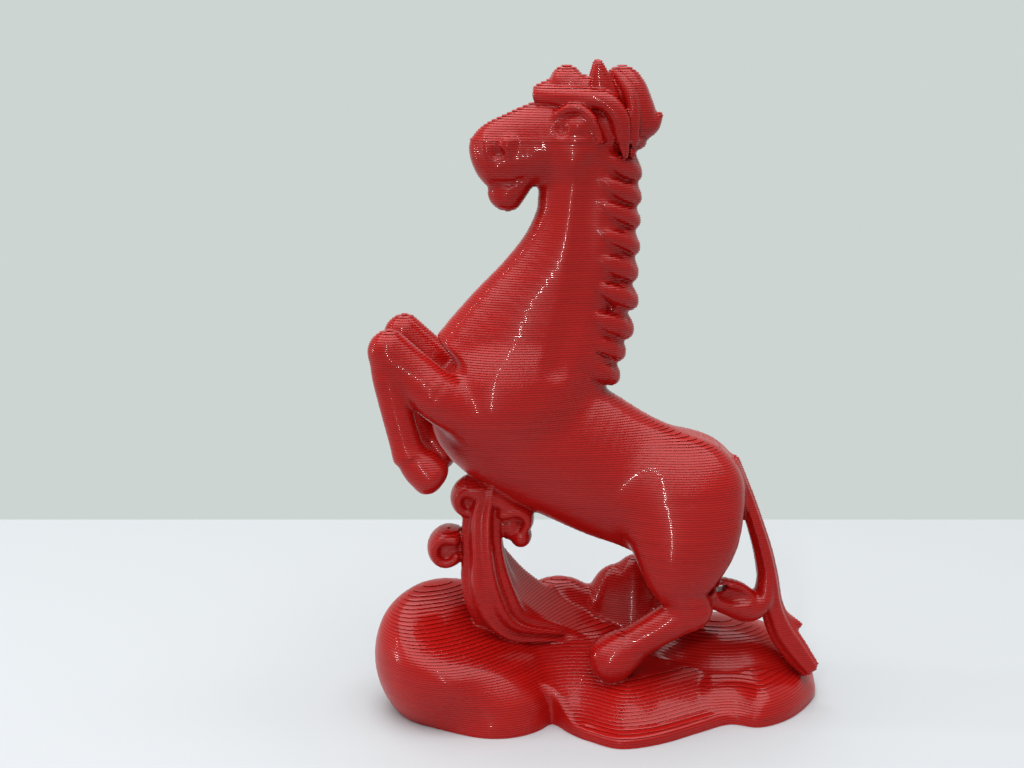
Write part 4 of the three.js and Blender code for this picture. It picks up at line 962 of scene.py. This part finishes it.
def closed(faces):
    """The closing of one piece's openings: from the edge of each a strip goes down under the skin, and
    from there triangles run to a point under the middle of the opening."""
    edge = np.stack([faces, np.roll(faces, -1, 1)], 2).reshape(-1, 2)
    forward = edge[:, 0] * len(points) + edge[:, 1]
    backward = edge[:, 1] * len(points) + edge[:, 0]
    rim = edge[~np.isin(forward, backward)]
    group = np.arange(len(points))
    while True:
        least = np.minimum(group[rim[:, 0]], group[rim[:, 1]])
        changed = np.any(group[rim[:, 0]] != least) or np.any(group[rim[:, 1]] != least)
        np.minimum.at(group, rim[:, 0], least)
        np.minimum.at(group, rim[:, 1], least)
        if not changed:
            break
    number = np.unique(group[rim[:, 0]], return_inverse=True)[1]
    count = np.bincount(number)
    hub = np.stack([np.bincount(number, points[rim[:, 0], k]) / count for k in range(3)], 1)
    facing = np.stack([np.bincount(number, outward[rim[:, 0], k]) / count for k in range(3)], 1)
    spread = np.bincount(number, np.linalg.norm(points[rim[:, 0]] - hub[number], axis=1)) / count
    hub -= facing * (0.6 * spread + 0.2)[:, None]
    inner, slot = np.unique(rim, return_inverse=True)
    slot = slot.reshape(rim.shape) + len(points)
    sunk = points[inner] - CAP_SINK * outward[inner]
    strip = np.stack([rim[:, 1], rim[:, 0], slot[:, 0], slot[:, 1]], 1)
    fan = np.stack([slot[:, 1], slot[:, 0], len(points) + len(inner) + number], 1)
    added = np.vstack([sunk, hub])
    added[:, 2] = np.maximum(added[:, 2], LAYER)
    return added, strip, fan


for number, entry in enumerate(print_forms.values()):
    faces = quads[owner == number]
    added, strip, caps = closed(faces)
    faces = np.vstack([faces, strip])
    corners = np.vstack([points, added])
    used, packed = np.unique(np.concatenate([faces.ravel(), caps.ravel()]), return_inverse=True)
    loops = packed.astype(np.int32)
    mesh = entry["object"].data
    mesh.vertices.add(len(used))
    mesh.vertices.foreach_set("co", (corners[used] * MM).astype(np.float32).ravel())
    mesh.loops.add(len(loops))
    mesh.loops.foreach_set("vertex_index", loops)
    sizes = np.concatenate([np.full(len(faces), 4), np.full(len(caps), 3)])
    mesh.polygons.add(len(sizes))
    mesh.polygons.foreach_set("loop_start", (np.cumsum(sizes) - sizes).astype(np.int32))
    mesh.update(calc_edges=True)
    up = np.vstack([normals, np.tile((0.0, 0.0, 1.0), (len(added), 1))])[used]
    mesh.shade_smooth()
    mesh.normals_split_custom_set_from_vertices(up.astype(np.float32))


# Stage: a plain pale table against plain pale grey, under a wide soft ceiling light. The mirror images of
# two narrow lamps, one at the left and one beside the camera, break into dashes on the layers.
def plain(name, colour, roughness):
    material = bpy.data.materials.new(name)
    material.use_nodes = True
    shader = material.node_tree.nodes["Principled BSDF"]
    shader.inputs["Base Color"].default_value = colour
    shader.inputs["Roughness"].default_value = roughness
    return material


def sheet(name, corners, material):
    mesh = bpy.data.meshes.new(name)
    mesh.from_pydata(corners, [], [(0, 1, 2, 3)])
    made = bpy.data.objects.new(name, mesh)
    bpy.context.collection.objects.link(made)
    mesh.materials.append(material)


TABLE_FRONT = -0.12
TABLE_END = 0.086
TABLE_HALF = 2.0
sheet("table", [
    (-TABLE_HALF, TABLE_FRONT, 0), (TABLE_HALF, TABLE_FRONT, 0),
    (TABLE_HALF, TABLE_END, 0), (-TABLE_HALF, TABLE_END, 0),
], plain("table_white", colour=(0.54, 0.565, 0.585, 1), roughness=0.6))


def lamp(name, place, aim, size, power):
    light = bpy.data.lights.new(name, "AREA")
    light.shape = "RECTANGLE"
    light.size, light.size_y = size
    light.energy = power
    made = bpy.data.objects.new(name, light)
    bpy.context.collection.objects.link(made)
    made.location = place
    direction = np.array(aim) - np.array(place)
    tilt = math.acos(-direction[2] / np.linalg.norm(direction))
    turn = math.atan2(direction[0], -direction[1]) + math.pi
    made.rotation_mode = "XYZ"
    made.rotation_euler = (tilt, 0, turn)


lamp("ceiling", place=(-0.03, -0.05, 0.82), aim=(0, 0, 0.04), size=(1.3, 1.2), power=15)
lamp("left", place=(-0.30, 0.0, 0.14), aim=(0, 0, 0.045), size=(0.008, 0.06), power=0.14)
lamp("front", place=(-0.06, -0.27, 0.165), aim=(0, 0, 0.045), size=(0.007, 0.05), power=0.2)

# The world lights the figurine faintly. Where the camera or a mirror image looks past the table, it shows
# the plain pale grey of the wall.
world = bpy.context.scene.world or bpy.data.worlds.new("world")
bpy.context.scene.world = world
world.use_nodes = True
tree = world.node_tree
ambient = tree.nodes["Background"]
ambient.inputs["Color"].default_value = (0.9, 0.93, 0.95, 1)
ambient.inputs["Strength"].default_value = 0.05
wall = tree.nodes.new("ShaderNodeBackground")
wall.inputs["Color"].default_value = (0.61, 0.665, 0.645, 1)
ray = tree.nodes.new("ShaderNodeLightPath").outputs
seen = calculated(tree, "MAXIMUM", ray["Is Camera Ray"], ray["Is Glossy Ray"])
seen = calculated(tree, "MAXIMUM", seen, ray["Is Transmission Ray"])
shown = tree.nodes.new("ShaderNodeMixShader")
tree.links.new(seen, shown.inputs["Fac"])
tree.links.new(ambient.outputs["Background"], shown.inputs[1])
tree.links.new(wall.outputs["Background"], shown.inputs[2])
tree.links.new(shown.outputs["Shader"], tree.nodes["World Output"].inputs["Surface"])
bpy.context.scene.view_settings.view_transform = "Standard"
